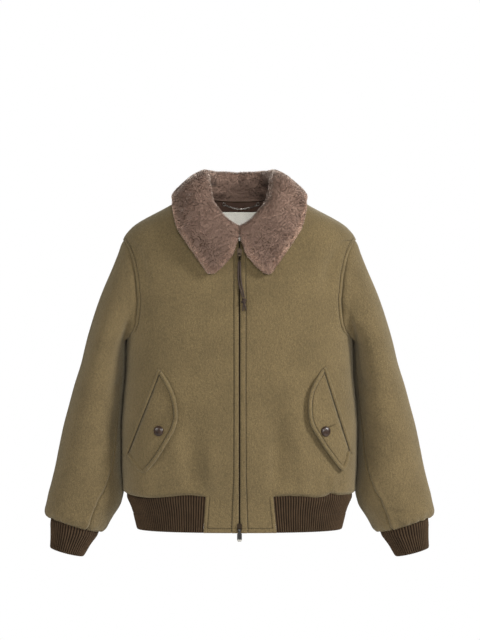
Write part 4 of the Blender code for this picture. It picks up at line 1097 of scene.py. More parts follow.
def rib_relief(columns):
    turn = 2 * np.pi * np.arange(columns) / POINTS_PER_RIB
    return -RIB_DEPTH * (0.5 - 0.5 * np.cos(turn)) ** 1.4


def rib_uv(grid):
    """Counts ribs across and centimetres up."""
    count = np.broadcast_to(np.arange(grid.shape[1]) / POINTS_PER_RIB, grid.shape[:2])
    up = grid_lengths(grid).reshape(*grid.shape[:2], 2)[..., 1] * 100
    return np.stack([count, up], axis=-1)


def hem_rib(look):
    heights = np.array([0, 0.4, 1.2, 2.6, 5, 10, 17, 24, 30, 31.5, 33, 34.5, 36, 42, 50, 57, 63,
                        67, 70, 73, 78])
    start = angle_at(block_edge("left", heights) + SEAM / 2, heights)
    end = 360 - angle_at(block_edge("right", heights) + SEAM / 2, heights)
    places = np.linspace(0, 1, MEASURED_PLACES)

    def at(share):
        return band_point(start[:, None] + share * (end - start)[:, None], heights[:, None])

    lengths = lengths_along(at(places[None, :])[HEM_FOLD_ROW])
    count = HEM_RIBS * POINTS_PER_RIB
    shares = np.interp(np.linspace(0, lengths[-1], count + 1), lengths, places)
    grid = at(shares[None, :])
    normals = outward(grid_normals(grid), grid, (0, SIDE_Y, 36))
    seam = bump(heights, HEM_FOLD, 1.4)
    tucked = HEM_TUCK * step_up(heights, 62, 74)
    moved = rib_relief(count + 1)[None, :] * (1 - 0.5 * seam)[:, None]
    moved = moved - (0.7 * seam + 1.6 * np.exp(-heights) + tucked)[:, None]
    outer = grid + normals * moved[..., None]
    inner = grid - normals * (BAND + tucked[:, None, None])
    return shell("rib_hem", outer, inner, look, uv=rib_uv(grid))


def cuff_rib(side, sign, look):
    rows = np.concatenate([[-0.28, -0.1], spaced(0, 2.8, 0.2), [2.88, 2.95, 2.98, 3.0]])
    count = CUFF_RIBS * POINTS_PER_RIB
    places = np.linspace(0, 360, MEASURED_PLACES)
    lengths = lengths_along(section_point(CUFF, 1.0, places))
    angles = np.interp(np.linspace(0, lengths[-1], count + 1), lengths, places)[:-1]
    grid = section_point(CUFF, rows[:, None], angles[None, :])
    above = np.minimum(rows, 0)[:, None, None]
    step = section_point(CUFF, 0.1, angles[None, :]) - section_point(CUFF, 0.0, angles[None, :])
    grid = grid + above * step * 10
    middle = grid.mean(axis=1, keepdims=True)
    normals = outward(grid_normals(grid, wrap=True), grid, middle)
    tucked = 1.6 + 2.2 * (1 - step_up(rows, -0.25, 0.15))
    tucked = np.where(rows < 0.6, tucked * (1 - step_up(rows, 0.15, 0.6)), 0)
    moved = rib_relief(count)[None, :] - tucked[:, None]
    moved = moved - 1.5 * np.exp(-(3.0 - rows) * 14)[:, None]
    outer = grid + normals * moved[..., None]
    inner = grid - normals * (BAND + tucked[:, None, None])
    return shell("rib_cuff_" + side, outer, inner, look, sign, wrap=True, uv=rib_uv(grid))


# ---------------------------------------------------------------- collar


CORNER_STATION = 0.968
CORNER_ROW = 4.5


def collar_grid(stations, rows):
    """The wool side of the collar and the ways to its fur; the two points are rounded off."""
    columns = []
    for station in stations:
        u = max((abs(station) - CORNER_STATION) / (1 - CORNER_STATION), 0)
        v = np.maximum((rows - CORNER_ROW) / (5 - CORNER_ROW), 0)
        if u == 0:
            columns.append(collar_column(station, rows))
            continue
        new_u, new_v = u * np.sqrt(1 - v**2 / 2), v * math.sqrt(1 - u**2 / 2)
        moved = CORNER_STATION + new_u * (1 - CORNER_STATION)
        new_rows = np.where(v > 0, CORNER_ROW + new_v * (5 - CORNER_ROW), rows)
        sign = math.copysign(1, station)
        columns.append(np.concatenate([collar_column(sign * m, np.array([r]))
                                       for m, r in zip(moved, new_rows)]))
    grid = np.stack(columns, axis=1)
    normals = grid_normals(grid)
    middle = np.argmin(np.abs(stations))
    if normals[0, middle, 1] > 0:
        normals = -normals
    return grid, normals


STRANDS = 33000  # in each of the pieces that the fur is made in
FUR_PIECES = 4
STRAND_LENGTH = 4.0
STRAND_WIDTH = 0.5
SKIN_SHARE = 0.69  # of the fur's thickness, under the strands
STRAND_POINTS = 5
CLOSING = 9.0  # how far the fur of each leaf bulges to the centre where the leaves meet
TUFT_WAVES = np.array([[0.31, 0.17, 0.05], [0.11, -0.23, 0.29], [-0.19, 0.13, 0.27]])


def fur_surface():
    """The fur's own surface under the tips: points, normals and the way towards its edge."""
    stations = np.concatenate([[-1, -0.998, -0.994, -0.988], spaced(-0.98, 0.98, 0.012),
                               [0.988, 0.994, 0.998, 1]])
    rows = np.concatenate([[0, 0.03], spaced(0.08, 4.9, 0.08), [4.94, 4.97, 4.99, 5.0]])
    grid, normals = collar_grid(stations, rows)
    depth = FUR * (1 - (1 - FUR_AT_FRONT) * np.clip((np.abs(stations) - 0.8) / 0.2, 0, 1))
    from_foot = lengths_along(grid, 0)
    from_edge = from_foot[-1:] - from_foot
    from_first = lengths_along(grid, 1)
    from_side = np.minimum(from_first, from_first[:, -1:] - from_first)
    near = np.minimum(from_edge, from_side)
    rounded = np.sqrt(np.clip(1 - (1 - np.minimum(near / 9.0, 1)) ** 2, 0, 1))
    crease = 4.5 * bump(rows, 1.0, 0.22)[:, None] * (1 - step_up(np.abs(stations), 0.2, 0.4))
    up = rows[:, None]
    lumps = np.sin(stations * 23 + up * 1.7) * np.sin(up * 2.6 - stations * 15)
    thick = depth[None, :] * SKIN_SHARE * rounded - crease + 0.7 * lumps * np.minimum(near / 9, 1)
    return stations, rows, grid, normals, np.maximum(thick, 0.8), near, from_foot


def fur_pieces(skin_look, strand_look):
    stations, rows, grid, normals, depth, near, from_foot = fur_surface()
    low = grid + normals * (UNDER_COLLAR + SEAM)
    surface = low + normals * depth[..., None]
    meeting = step_up(np.abs(stations), 0.93, 1.0)[None, :] * bump(rows, 2.2, 0.85)[:, None]
    across = np.maximum(np.abs(surface[..., 0]) - CLOSING * meeting, 0.4)
    surface[..., 0] = np.where(meeting > 0.01, across * np.sign(stations), surface[..., 0])
    skin = shell("fur_skin", surface, low, skin_look)
    facing = grid_normals(surface)
    facing = np.where(np.sum(facing * normals, axis=-1, keepdims=True) < 0, -facing, facing)
    down = unit(np.gradient(grid, axis=0))
    rng = np.random.default_rng(7)
    quad = surface[1:, 1:] - surface[:-1, :-1], surface[:-1, 1:] - surface[1:, :-1]
    area = np.linalg.norm(np.cross(*quad), axis=2) / 2
    chance = np.cumsum(area.reshape(-1)) / area.sum()
    pieces = [skin]
    for part in range(FUR_PIECES):
        cell = np.searchsorted(chance, rng.random(STRANDS))
        r, c = np.unravel_index(np.minimum(cell, area.size - 1), area.shape)
        u, v = rng.random((2, STRANDS, 1))

        def read(field):
            near_row = field[r, c] * (1 - u) + field[r, c + 1] * u
            far_row = field[r + 1, c] * (1 - u) + field[r + 1, c + 1] * u
            return near_row * (1 - v) + far_row * v

        root, out, fall = read(surface), unit(read(facing)), unit(read(down))
        side = unit(np.cross(out, fall))
        tuft = np.sin(root @ TUFT_WAVES)
        # Each strand leans along the fall of the fur, with its tuft and a little by itself
        stray = rng.normal(0, 0.15, (STRANDS, 3))
        meeting = bump(root[:, :1], 0, 8) * (rows[r] > 1.2)[:, None]
        inwards = -np.sign(root[:, :1]) * np.array((1.0, 0.0, 0.0))
        way = unit(out + fall * (0.34 + 0.07 * tuft[:, :1]) + side * 0.09 * tuft[:, 1:2] + stray
                   + 0.8 * meeting * inwards)
        # It is shorter at the rim and at the foot, and longer where the two leaves meet
        length = STRAND_LENGTH * (0.75 + 0.4 * rng.random((STRANDS, 1)) + 0.05 * tuft[:, 2:])
        from_rim = read(near[..., None])
        length *= 0.7 + 0.3 * np.minimum(from_rim / 8.0, 1)
        length *= 0.4 + 0.6 * step_up(read(from_foot[..., None]), 0, 10)
        length *= 1 + 0.3 * meeting
        across = unit(np.cross(way, rng.normal(0, 1, (STRANDS, 3))))
        width = STRAND_WIDTH * (0.7 + 0.6 * rng.random((STRANDS, 1)))
        middle = root + way * length * 0.5
        tip = root + way * length * 0.95 + fall * 0.1 * length
        points = np.stack([root - across * width * 0.5, root + across * width * 0.5,
                           middle + across * width * 0.42, middle - across * width * 0.42, tip],
                          axis=1).reshape(-1, 3)
        # Strands get a painted highlight along the rim, and painted shade inside the neck below the
        # roll
        first = (np.arange(STRANDS) * STRAND_POINTS)[:, None]
        # Painted highlight along the rim and painted shade inside the neck, over each strand's random
        # tone
        painted_rim_highlight = bump(from_rim, 4.0, 10.0) * (r[:, None] > len(rows) // 3) * (1 - meeting)
        tone_with_painted_light = np.clip(0.36 + 0.14 * rng.random((STRANDS, 1)) + 0.5 * painted_rim_highlight, 0, 1)
        painted_neck_shade = (1 - step_up(rows[r], 1.2, 2.1)) * (1 - step_up(np.abs(stations[c]), 0.4, 0.65))
        tone_with_painted_light *= 1 - 0.85 * painted_neck_shade[:, None]
        uv = np.stack([np.repeat(tone_with_painted_light, STRAND_POINTS, 1),
                       np.tile([0.0, 0.0, 0.55, 0.55, 1.0], (STRANDS, 1))], axis=-1)
        made = make_mesh(f"fur_strands_{part}", points,
                         [first + (0, 1, 2, 3), first + (3, 2, 4)], strand_look,
                         uv=uv.reshape(-1, 2))
        # They are lit nearly as the surface under them, which keeps the pile smooth
        soft = unit(out + 0.1 * tuft + 0.12 * stray)
        soft = np.repeat(soft, STRAND_POINTS, axis=0)
        made.data.normals_split_custom_set_from_vertices(soft.tolist())
        pieces.append(made)
    return pieces


def under_collar(look):
    stations = spaced(-1, 1, 0.02)
    rows = spaced(0, 5, 0.12)
    grid, normals = collar_grid(stations, rows)
    return shell("wool_under_collar", grid, grid + normals * (UNDER_COLLAR - 0.2), look)


# ---------------------------------------------------------------- inside the back neck

FACING_FOOT = 638.5
FACING_HALF_WIDTH = 74.0
LABEL_HALF_WIDTH = 42.0
LABEL_FOOT = 578.0
CHAIN_ENDS = ((-31.7, 655.8), (37.8, 655.8))
CHAIN_SAG = 10.0
CHAIN_LIFT = -6.3
CHAIN_LINKS = 17
CHAIN_FROM_EYE = 4.2
LINK = (2.4, 1.5, 0.62, 14, 6)  # half length, half width, wire, points round it and its wire
EYE = (3.1, 3.1, 0.9, 24, 8)
NECK_CLOTH_LIFT = -3.0


def strip_inside(name, rows, half_width, thickness, look):
    """A strip of cloth against the inside of the back, between rows of heights."""
    x = spaced(-half_width, half_width, 2.5)
    grid = np.stack([on_back(x, np.broadcast_to(row(x) if callable(row) else row, x.shape),
                             np.full(x.shape, NECK_CLOTH_LIFT)) for row in rows])
    normals = body_normal(grid)
    edge = np.minimum(half_width - np.abs(x), 4)[None, :, None]
    puff = 0.35 * bump(edge, 3.2, 0.8)
    return shell(name, grid - normals * (thickness + puff), grid, look)


def facing_top(x):
    """The neck's edge at the back, which the facing follows."""
    drop = (NECK_SIDE - NECK_BACK) * np.sqrt(1 - (x / NECK_HALF_WIDTH) ** 2)
    return NECK_SIDE - drop - 1.2


def ring_faces(rings, sides, closed=False):
    """Faces between rings of points; closed also joins the last ring to the first."""
    i, k = np.meshgrid(np.arange(rings if closed else rings - 1), np.arange(sides),
                       indexing="ij")
    j, n = (i + 1) % rings, (k + 1) % sides
    faces = np.stack([i * sides + k, i * sides + n, j * sides + n, j * sides + k], axis=-1)
    return faces.reshape(-1, 4)


FACING_ROWS = (FACING_FOOT, 641.0, 645.0, facing_top)
FACING_THICKNESS = 0.9
LABEL_ROWS = spaced(LABEL_FOOT, FACING_FOOT + 0.5, 3.0)
LABEL_THICKNESS = 0.8


def torus(centre, across, up, half_width, half_height, wire, turns, sides):
    """Points and faces of a ring of round wire in the plane of two ways."""
    across, up = np.asarray(across, float), np.asarray(up, float)
    out = np.cross(across, up)
    t = 2 * np.pi * np.arange(turns)[:, None] / turns
    middle = centre + across * half_width * np.cos(t) + up * half_height * np.sin(t)
    away = unit(across * np.cos(t) / half_width + up * np.sin(t) / half_height)
    points = []
    for k in range(sides):
        a = 2 * np.pi * k / sides
        points.append(middle + (away * math.cos(a) + out * math.sin(a)) * wire)
    faces = ring_faces(turns, sides, closed=True)[:, (0, 3, 2, 1)]
    return np.stack(points, axis=1).reshape(-1, 3), faces


def gathered(parts):
    """One set of points and faces from several."""
    points, groups, count = [], {}, 0
    for part_points, faces in parts:
        for group in faces if isinstance(faces, list) else [faces]:
            groups.setdefault(group.shape[1], []).append(group + count)
        points.append(part_points)
        count += len(part_points)
    return np.concatenate(points), [np.concatenate(g) for g in groups.values()]


def chain(look):
    """Links that hang between the two eyes, each turned square to the next."""
    (x0, z0), (x1, _) = CHAIN_ENDS
    x = np.linspace(x0 + CHAIN_FROM_EYE, x1 - CHAIN_FROM_EYE, CHAIN_LINKS)
    share = 2 * (x - x0) / (x1 - x0) - 1
    line = on_back(x, z0 - CHAIN_SAG * (1 - share**2), np.full(CHAIN_LINKS, CHAIN_LIFT))
    ways = unit(np.gradient(line, axis=0))
    parts = []
    for k, (place, way) in enumerate(zip(line, ways)):
        out = body_normal(place)
        flat = unit(np.cross(way, out))
        tilt = math.radians(45 if k % 2 else -45)
        side = flat * math.cos(tilt) + unit(np.cross(way, flat)) * math.sin(tilt)
        parts.append(torus(place, way, side, *LINK))
    return make_mesh("chain_links", *gathered(parts), look)


def chain_ring(side, look):
    x, z = CHAIN_ENDS[1 if side == "left" else 0]
    place = on_back(np.array(x), np.array(z), np.array(CHAIN_LIFT))
    out = body_normal(place)
    across = unit(np.cross(out, (0, 0, 1)))
    ring = torus(place, across, np.cross(across, out), *EYE)
    return make_mesh("chain_eye_" + side, *ring, look)


# ---------------------------------------------------------------- pockets

FLAP = {
    "right": {
        "across": (153, 144, 134, 124.5, 120.4, 119.8, 125, 141, 156, 172, 184, 193, 208, 220),
        "height": (317, 305, 288, 264, 242, 227, 205, 175, 150, 129, 117, 120, 134, 148),
    },
    "left": {
        "across": (163, 155, 145, 136, 132.5, 132.8, 137, 147, 161, 177, 193, 199, 208, 217),
        "height": (322, 311, 296, 275, 252, 232, 212, 193, 170, 147, 126, 121, 131, 153),
    },
    "hinge": (0, 0.05, 0.14, 0.26, 0.37, 0.46, 0.57, 0.7, 0.81, 0.89, 0.94, 0.97, 0.99, 1),
}  # fmt: skip
FLAP_LIFT = 0.6
FLAP_STANDS = 3.0
WELT_WIDTH = 7.0
WELT_HEIGHT = 3.0
WELT_OFF_FRONT = 0.3
BUTTON = {"right": (156.0, 200.0), "left": (166.0, 199.0)}
BUTTON_RADIUS = 10.2
BUTTON_HEIGHT = 6.0
BUTTON_LIFT = 5.4
BUTTON_SIDES = 40


def flap_grid(side):
    """Points of a flap on +X, their distance from its free edge, how far they stand off the
    front and their distance from its hinge."""
    order = np.arange(len(FLAP["hinge"]))
    fine = spaced(0, len(order) - 1, 0.07)
    across = smooth(order, FLAP[side]["across"], fine)
    height = smooth(order, FLAP[side]["height"], fine)
    share = smooth(order, FLAP["hinge"], fine)
    edge = np.stack([across, height], axis=-1)
    top, foot = edge[0], edge[-1]
    hinge = top + (foot - top) * share[:, None]
    reach = np.maximum(np.linalg.norm(edge - hinge, axis=1), 1e-6)[:, None]
    near = np.array([0, 0.3, 0.8, 1.5, 2.6, 4.0, 5.4, 6.4, 7.0, 7.5, 7.9, 8.3, 8.8, 9.6, 11.0])
    close = near * np.minimum(reach / 22.0, 1)
    far = close[:, -1:] + (reach - close[:, -1:]) * np.linspace(0.1, 1, 10)
    from_edge = np.concatenate([close, far], axis=1)[:, ::-1]
    towards = 1 - from_edge / reach
    flat = hinge[:, None] + (edge - hinge)[:, None] * towards[..., None]
    away = np.linalg.norm(flat[:, :, None] - edge, axis=-1).min(axis=-1)
    stands = FLAP_LIFT + FLAP_STANDS * np.minimum(reach / 60, 1) * towards**2
    return on_front(flat[..., 0], flat[..., 1]), away, stands, reach * towards


FLAP_CURL = {"left": 3.4, "right": 0.6}  # how far a flap's free edge curls away from the front


def curl_at(side, from_edge):
    return FLAP_CURL[side] * bump(from_edge, 0, 14)


def pocket_flap(side, sign, look):
    grid, away, stands, from_hinge = flap_grid(side)
    normals = body_normal(grid)
    moved = stands + WOOL + beaded(away, 7.6, 2.4, 1.9) - 1.6 * bump(from_hinge, 0, 1.3)
    curl = curl_at(side, away) * step_up(from_hinge, 4, 22)
    outer = grid + normals * (moved + curl)[..., None]
    inner = grid + normals * (stands + curl)[..., None]
    return shell("wool_flap_" + side, outer, inner, look, sign)


def hinge_line(side):
    """The line that a pocket's flap hangs from: its two ends, and the way out from the flap."""
    across, height = FLAP[side]["across"], FLAP[side]["height"]
    top, foot = np.array((across[0], height[0])), np.array((across[-1], height[-1]))
    along = unit(foot - top)
    away = np.array((-along[1], along[0]))
    return top, foot, away * np.sign(away[0])


def pocket_welt(side, sign, look):
    top, foot, away = hinge_line(side)
    share = np.concatenate([[0, 0.004, 0.012, 0.03], spaced(0.05, 0.95, 0.02),
                            [0.97, 0.988, 0.996, 1]])
    offset = np.array([0.5, 0.8, 1.4, 2.2, 3.2, 4.3, 5.4, 6.0, 6.5, 6.8, 7.0])
    flat = top + (foot - top) * share[:, None, None] + away * offset[None, :, None]
    grid = on_front(flat[..., 0], flat[..., 1])
    normals = body_normal(grid)
    width = 2 * (offset - 3.75) / 6.5
    rounded = np.sqrt(np.clip(1 - np.abs(width) ** 2.2, 0, 1))
    ends = np.clip(np.minimum(share, 1 - share) / 0.02, 0, 1) ** 0.5
    ends = 0.5 + 0.5 * ends[:, None]
    rise = FLAP_LIFT + WELT_OFF_FRONT + (WELT_HEIGHT + 0.7) * rounded[None, :] * ends
    outer = grid + normals * rise[..., None]
    return shell("wool_welt_" + side, outer, grid + normals * WELT_OFF_FRONT, look, sign)


def welt_seams_and_shadow(side, sign, look):
    """The two seams that hold a welt, as dark lines of thread sunk along its long edges; the lines
    run unbroken and also paint the shadow beside the welt.
    """
    top, foot, away = hinge_line(side)
    parts = []
    # Dark thread lines for the seams, which also paint the shadow along the welt's edges
    for offset, lift in ((0.2, 2.6), (WELT_WIDTH + 0.3, 0.35)):
        flat = top + (foot - top) * spaced(0, 1, 0.05)[:, None] + away * offset
        line = on_front(flat[:, 0], flat[:, 1], np.full(len(flat), lift))
        parts.append(swept(line * (sign, 1, 1), [0.6] * len(line), 6))
    return make_mesh("seam_and_shadow_welt_" + side, *gathered(parts), look)


def turned_shape(centre, out, profile, sides):
    """Points and faces of a shape turned round the way out: pairs of radius and rise."""
    along = unit(np.cross(out, (0, 0, 1)))
    up = np.cross(along, out)
    t = 2 * np.pi * np.arange(sides) / sides
    ring = along * np.cos(t)[:, None] + up * np.sin(t)[:, None]
    points = np.concatenate([centre + ring * radius + out * rise for radius, rise in profile])
    return points, ring_faces(len(profile), sides)


def pocket_button(side, sign, look):
    centre = on_front(*map(np.array, BUTTON[side]))
    out = body_normal(centre)
    r, h = BUTTON_RADIUS, BUTTON_HEIGHT
    t = np.linspace(0, math.pi / 2, 12)
    profile = [(0.01, 0), (0.8 * r, 0), (0.95 * r, 0.1 * h)]
    profile += [(r * math.cos(a) ** 0.75 + 0.01, 0.2 * h + 0.8 * h * math.sin(a)) for a in t]
    points, faces = turned_shape(centre + out * BUTTON_LIFT, out, profile, BUTTON_SIDES)
    return make_mesh("button_" + side, points * (sign, 1, 1), faces[:, ::int(sign)], look)


# ---------------------------------------------------------------- zip

TEETH_PITCH = 3.6
ZIP_FOOT = 3.0
ZIP_TOP = NECK_FRONT - 4.0
SLIDERS = (549.0, 11.5)
SLIDER_REACH = 7.0  # no teeth show this near the middle of a slider
TOOTH = (1.6, 0.72, 1.1)  # half sizes
TOOTH_TAPER = 0.8
TEETH_APART = 0.75
TEETH_LIFT = -1.3
TAPE_LIFT = -3.2
TAPE_THICKNESS = 0.9


def box_shape(centre, ways, sizes):
    """A block with a smaller front, from its centre, three ways and three half sizes."""
    points = []
    for depth, share in ((-1, 1.0), (0.5, 1.0), (1, TOOTH_TAPER)):
        for a, b in ((-1, -1), (1, -1), (1, 1), (-1, 1)):
            points.append(centre + ways[0] * sizes[0] * a * share + ways[1] * sizes[1] * b * share
                          + ways[2] * sizes[2] * depth)
    faces = [[3, 2, 1, 0], [8, 9, 10, 11]]
    for low in (0, 4):
        for k in range(4):
            n = (k + 1) % 4
            faces.append([low + k, low + n, low + 4 + n, low + 4 + k])
    return np.array(points), np.array(faces)


def zip_teeth(look):
    """Two rows of teeth that mesh, apart from those under the sliders."""
    parts = []
    for side in (-1, 1):
        for z in np.arange(ZIP_FOOT + 1.5 + (side > 0) * TEETH_PITCH / 2, ZIP_TOP, TEETH_PITCH):
            if any(abs(z - middle) < SLIDER_REACH for middle in SLIDERS):
                continue
            place = on_front(np.array(side * TEETH_APART), np.array(z), np.array(TEETH_LIFT))
            across, out = np.array((1.0, 0.0, 0.0)), body_normal(place)
            parts.append(box_shape(place, (across, unit(np.cross(out, across)), out), TOOTH))
    return make_mesh("zip_chain", *gathered(parts), look, polish=False)


def zip_tape(side, sign, look):
    z = spaced(ZIP_FOOT, ZIP_TOP, 6.0)
    x = np.array([0.6, 1.2, 2.2, 4, 7, 10, 13])
    grid = on_front(*np.meshgrid(x, z), np.full((len(z), len(x)), TAPE_LIFT))
    inner = grid - body_normal(grid) * TAPE_THICKNESS
    return shell("tape_" + side, grid, inner, look, sign)


# ---------------------------------------------------------------- thong

THONG = {
    "across": (0.0, -0.4, -0.6, -0.4, 0.2, 1.4, 3.4, 5.8, 7.6),
    "height": (530.5, 522, 513, 504, 495, 486, 477.5, 469, 461.0),
    "lift":   (5.2, 5.2, 4.6, 4.2, 4.0, 4.0, 4.2, 4.6, 5.0),
    "apart":  (1.75, 1.8, 2.0, 2.1, 2.2, 2.2, 2.1, 1.9, 1.7),
}  # fmt: skip
THONG_RADIUS = 1.5
KNOT = (8.8, 454.0, 5.4)
TAILS = ((6.2, 434.0), (13.0, 435.5))


def thong_line(sign):
    """The middle of one of the thong's two strands."""
    x, z, lift, apart = (np.array(v, float) for v in THONG.values())
    return on_front(x + sign * apart, z, lift)


def tube(name, line, radius, look):
    """A cord: a curve of one spline with a round section and closed ends."""
    curve = bpy.data.curves.new(name, "CURVE")
    curve.dimensions = "3D"
    curve.bevel_depth = radius * MM
    curve.bevel_resolution = 3
    curve.use_fill_caps = True
    spline = curve.splines.new("POLY")
    spline.points.add(len(line) - 1)
    for place, point in zip(spline.points, world(line)):
        place.co = (*point, 1)
    spline.use_smooth = True
    curve.materials.append(look)
    return placed(name, curve)


def finer(line):
    """The line with four steps for each of its own, on a smooth curve."""
    order = np.arange(len(line))
    fine = np.linspace(0, len(line) - 1, (len(line) - 1) * 4 + 1)
    return np.stack([smooth(order, line[:, k], fine) for k in range(3)], axis=-1)


def swept(line, radii, sides=10):
    """Points and faces of a bar along a line, with a radius at each point and closed ends."""
    ways = unit(np.gradient(line, axis=0))
    side = unit(np.cross(ways, (0.0, 1.0, 0.02)))
    other = np.cross(ways, side)
    t = 2 * np.pi * np.arange(sides) / sides
    rings = (line[:, None] + (side[:, None] * np.cos(t)[None, :, None]
             + other[:, None] * np.sin(t)[None, :, None]) * np.asarray(radii)[:, None, None])
    last = (len(line) - 1) * sides
    caps = np.array([list(range(sides))[::-1], [last + k for k in range(sides)]])
    return rings.reshape(-1, 3), [ring_faces(len(line), sides), caps]


def thong_knot(look):
    x, z, lift = (np.array(v) for v in KNOT)
    centre = on_front(x, z, lift)
    parts = []
    for rise, size, tilt in ((3.4, 0.86, 0.25), (0.2, 1.0, -0.3), (-3.0, 0.88, 0.2)):
        up = unit(np.array((math.sin(tilt), 0.0, math.cos(tilt))))
        across = unit(np.cross((0.0, -1.0, 0.0), up))
        parts.append(torus(centre + up * rise, across, np.cross(up, across), 3.6 * size,
                           2.9 * size, 1.65, 22, 10))
    parts.append(swept(np.linspace(centre + (0, 0, 5), centre - (0, 0, 5), 6), [3.0] * 6))
    for tail_x, tail_z in TAILS:
        end = on_front(np.array(tail_x), np.array(tail_z), np.array(3.4))
        line = np.linspace(centre - (0, 0, 3.5), end, 8)
        parts.append(swept(line, [1.5] * 7 + [1.3]))
    return make_mesh("thong_tie", *gathered(parts), look)


# ---------------------------------------------------------------- sewing


STITCH = 3.2
STITCH_PITCH = 4.4
STITCH_RADII = (0.38 * 0.6, 0.38, 0.38, 0.38 * 0.6)
STITCH_LIFTS = np.array([-0.35, 0.12, 0.12, -0.35])[:, None]
FLAP_STITCH = 8.0  # from a flap's free edge


def stitches(name, lines, look):
    """Short raised threads along lines of points, each line with its own ways out."""
    parts = []
    for line, outs in lines:
        lengths = lengths_along(line)
        for start in np.arange(1.0, lengths[-1] - STITCH, STITCH_PITCH):
            places = np.array([np.interp(start + STITCH * f, lengths, line[:, k])
                               for f in (0, 0.3, 0.7, 1) for k in range(3)]).reshape(4, 3)
            out = unit([np.interp(start, lengths, outs[:, k]) for k in range(3)])
            parts.append(swept(places + out * STITCH_LIFTS, STITCH_RADII, 6))
    return make_mesh(name, *gathered(parts), look)


def front_stitches(side, sign, look):
    z = spaced(3, 508, 3.0)
    along_zip = on_front(FRONT_EDGE + (edge_band(side, z) + 0.4), z, np.full(z.shape, 0.05))
    z = spaced(9, 66, 3.0)
    block_side = on_front(block_edge(side, z) - (BLOCK_SIDE_BAND + 0.6), z,
                          np.full(z.shape, 0.1))
    x = spaced(FRONT_EDGE + 14, BLOCK_FOOT[side] - 8, 3.0)
    block_foot = on_front(x, np.full(x.shape, BLOCK_FOOT_BAND + 0.4), np.full(x.shape, 0.1))
    grid, away, stands, from_hinge = flap_grid(side)
    kept = away.max(axis=1) > FLAP_STITCH + 1
    place = np.array([np.interp(FLAP_STITCH, row[::-1], range(len(row))[::-1]) for row in away])
    low = np.floor(place).astype(int)
    part = (place - low)[:, None]
    rows = np.arange(len(grid))
    path = grid[rows, low] * (1 - part) + grid[rows, np.minimum(low + 1, grid.shape[1] - 1)] * part
    rise = stands[rows, low] + WOOL - 1.3
    rise = rise + curl_at(side, FLAP_STITCH) * step_up(from_hinge[rows, low], 4, 22)
    flap_edge = (path + body_normal(path) * rise[:, None])[kept]
    turn = (sign, 1, 1)
    lines = [(line * turn, body_normal(line) * turn)
             for line in (along_zip, block_side, block_foot, flap_edge)]
    return stitches("sewing_front_" + side, lines, look)


BUTTONHOLE = ((173.0, 207.5), (187.0, 212.5))


def buttonhole(look):
    """Close stitches across the slit in the left flap, beside its button."""
    grid, away, stands, _ = flap_grid("left")
    start, end = np.array(BUTTONHOLE)
    flat = start + (end - start) * spaced(0, 1, 0.1)[:, None]
    near = np.linalg.norm(grid[..., ::2] - flat[:, None, None], axis=-1).reshape(len(flat), -1)
    at = near.argmin(axis=1)
    away, stands = away.reshape(-1)[at], stands.reshape(-1)[at]
    rise = stands + WOOL + curl_at("left", away)
    middle = on_front(flat[:, 0], flat[:, 1], rise)
    outs = body_normal(middle)
    across = unit(np.cross(outs, np.gradient(middle, axis=0)))
    parts = []
    for place, way, out in zip(middle, across, outs):
        line = place + way * np.array([-2.0, -0.9, 0.9, 2.0])[:, None]
        line += out * np.array([-0.3, 0.3, 0.3, -0.3])[:, None]
        parts.append(swept(line, [0.25, 0.4, 0.4, 0.25], 6))
    return make_mesh("sewing_buttonhole", *gathered(parts), look)


def arm_stitches(side, sign, look):
    lines = []
    for front in (True, False):
        z = spaced(UNDERARM + 16, SHOULDER_POINT - 4, 3.0)
        edge = body_point(angle_at(armhole_across(z, front), z), z, front)
        along = unit(np.gradient(edge, axis=0))
        out = body_normal(edge)
        inwards = np.cross(along, out)
        inwards *= np.sign(-inwards[:, :1])
        line = edge + inwards * (ARM_BAND + 0.6) - out * 0.15
        near = clear_of_body(line, 0.0)
        lines.append((near * (sign, 1, 1), body_normal(near) * (sign, 1, 1)))
    return stitches("sewing_arm_" + side, lines, look)


# ---------------------------------------------------------------- the dressed jacket

wool = melton("olive_melton", OLIVE)
wool_sleeve = melton("olive_melton_sleeve", SLEEVE_OLIVE)
knit = rib_knit("brown_rib", RIB_BROWN)
facing_cloth = twill("brown_facing", FACING_BROWN)
label_cloth = twill("cream_satin", CREAM, 900.0, 0.00004, 0.55)
tape_cloth = twill("zip_tape", RIB_BROWN, 700.0, 0.00008)
bronze = metal("dark_bronze", BRONZE, 0.42)
steel = metal("bright_steel", STEEL, 0.28)
leather = hide("brown_leather", LEATHER, 0.45)
cord_leather = hide("thong_leather", shade(LEATHER, 0.6), 0.75)
button_leather = hide("button_leather", shade(LEATHER, 0.62), 0.32)
# The teeth are painted far darker than the sliders' bronze, as shade in the zip's centre line
teeth_painted_shade = metal("bronze_teeth_painted_shade", shade(BRONZE, 0.3), 0.5)
thread = twill("thread", THREAD, 2500.0, 0.00003)
pale_thread = twill("pale_thread", shade(OLIVE, 1.2), 2500.0, 0.00003)

for side, sign in SIDES:
    dress(front_panel(side, sign, wool), "front_" + side)
    dress(sleeve_piece(side, sign, False, wool_sleeve), "sleeve_top_" + side)
    dress(sleeve_piece(side, sign, True, wool_sleeve), "sleeve_under_" + side)
    dress(cuff_rib(side, sign, knit), "cuff_" + side)
    dress(pocket_flap(side, sign, wool), "pocket_flap_" + side)
    dress(pocket_welt(side, sign, wool), "pocket_welt_" + side)
    dress(welt_seams_and_shadow(side, sign, thread), slot="pocket_welt_" + side)
    dress(pocket_button(side, sign, button_leather), "pocket_button_" + side)
    dress(chain_ring(side, steel), "chain_ring_" + side)
    dress(zip_tape(side, sign, tape_cloth), "zip_tape_" + side)
    dress(front_stitches(side, sign, thread), slot="front_" + side)
    dress(arm_stitches(side, sign, thread), slot="front_" + side)

dress(buttonhole(pale_thread), slot="pocket_flap_left")

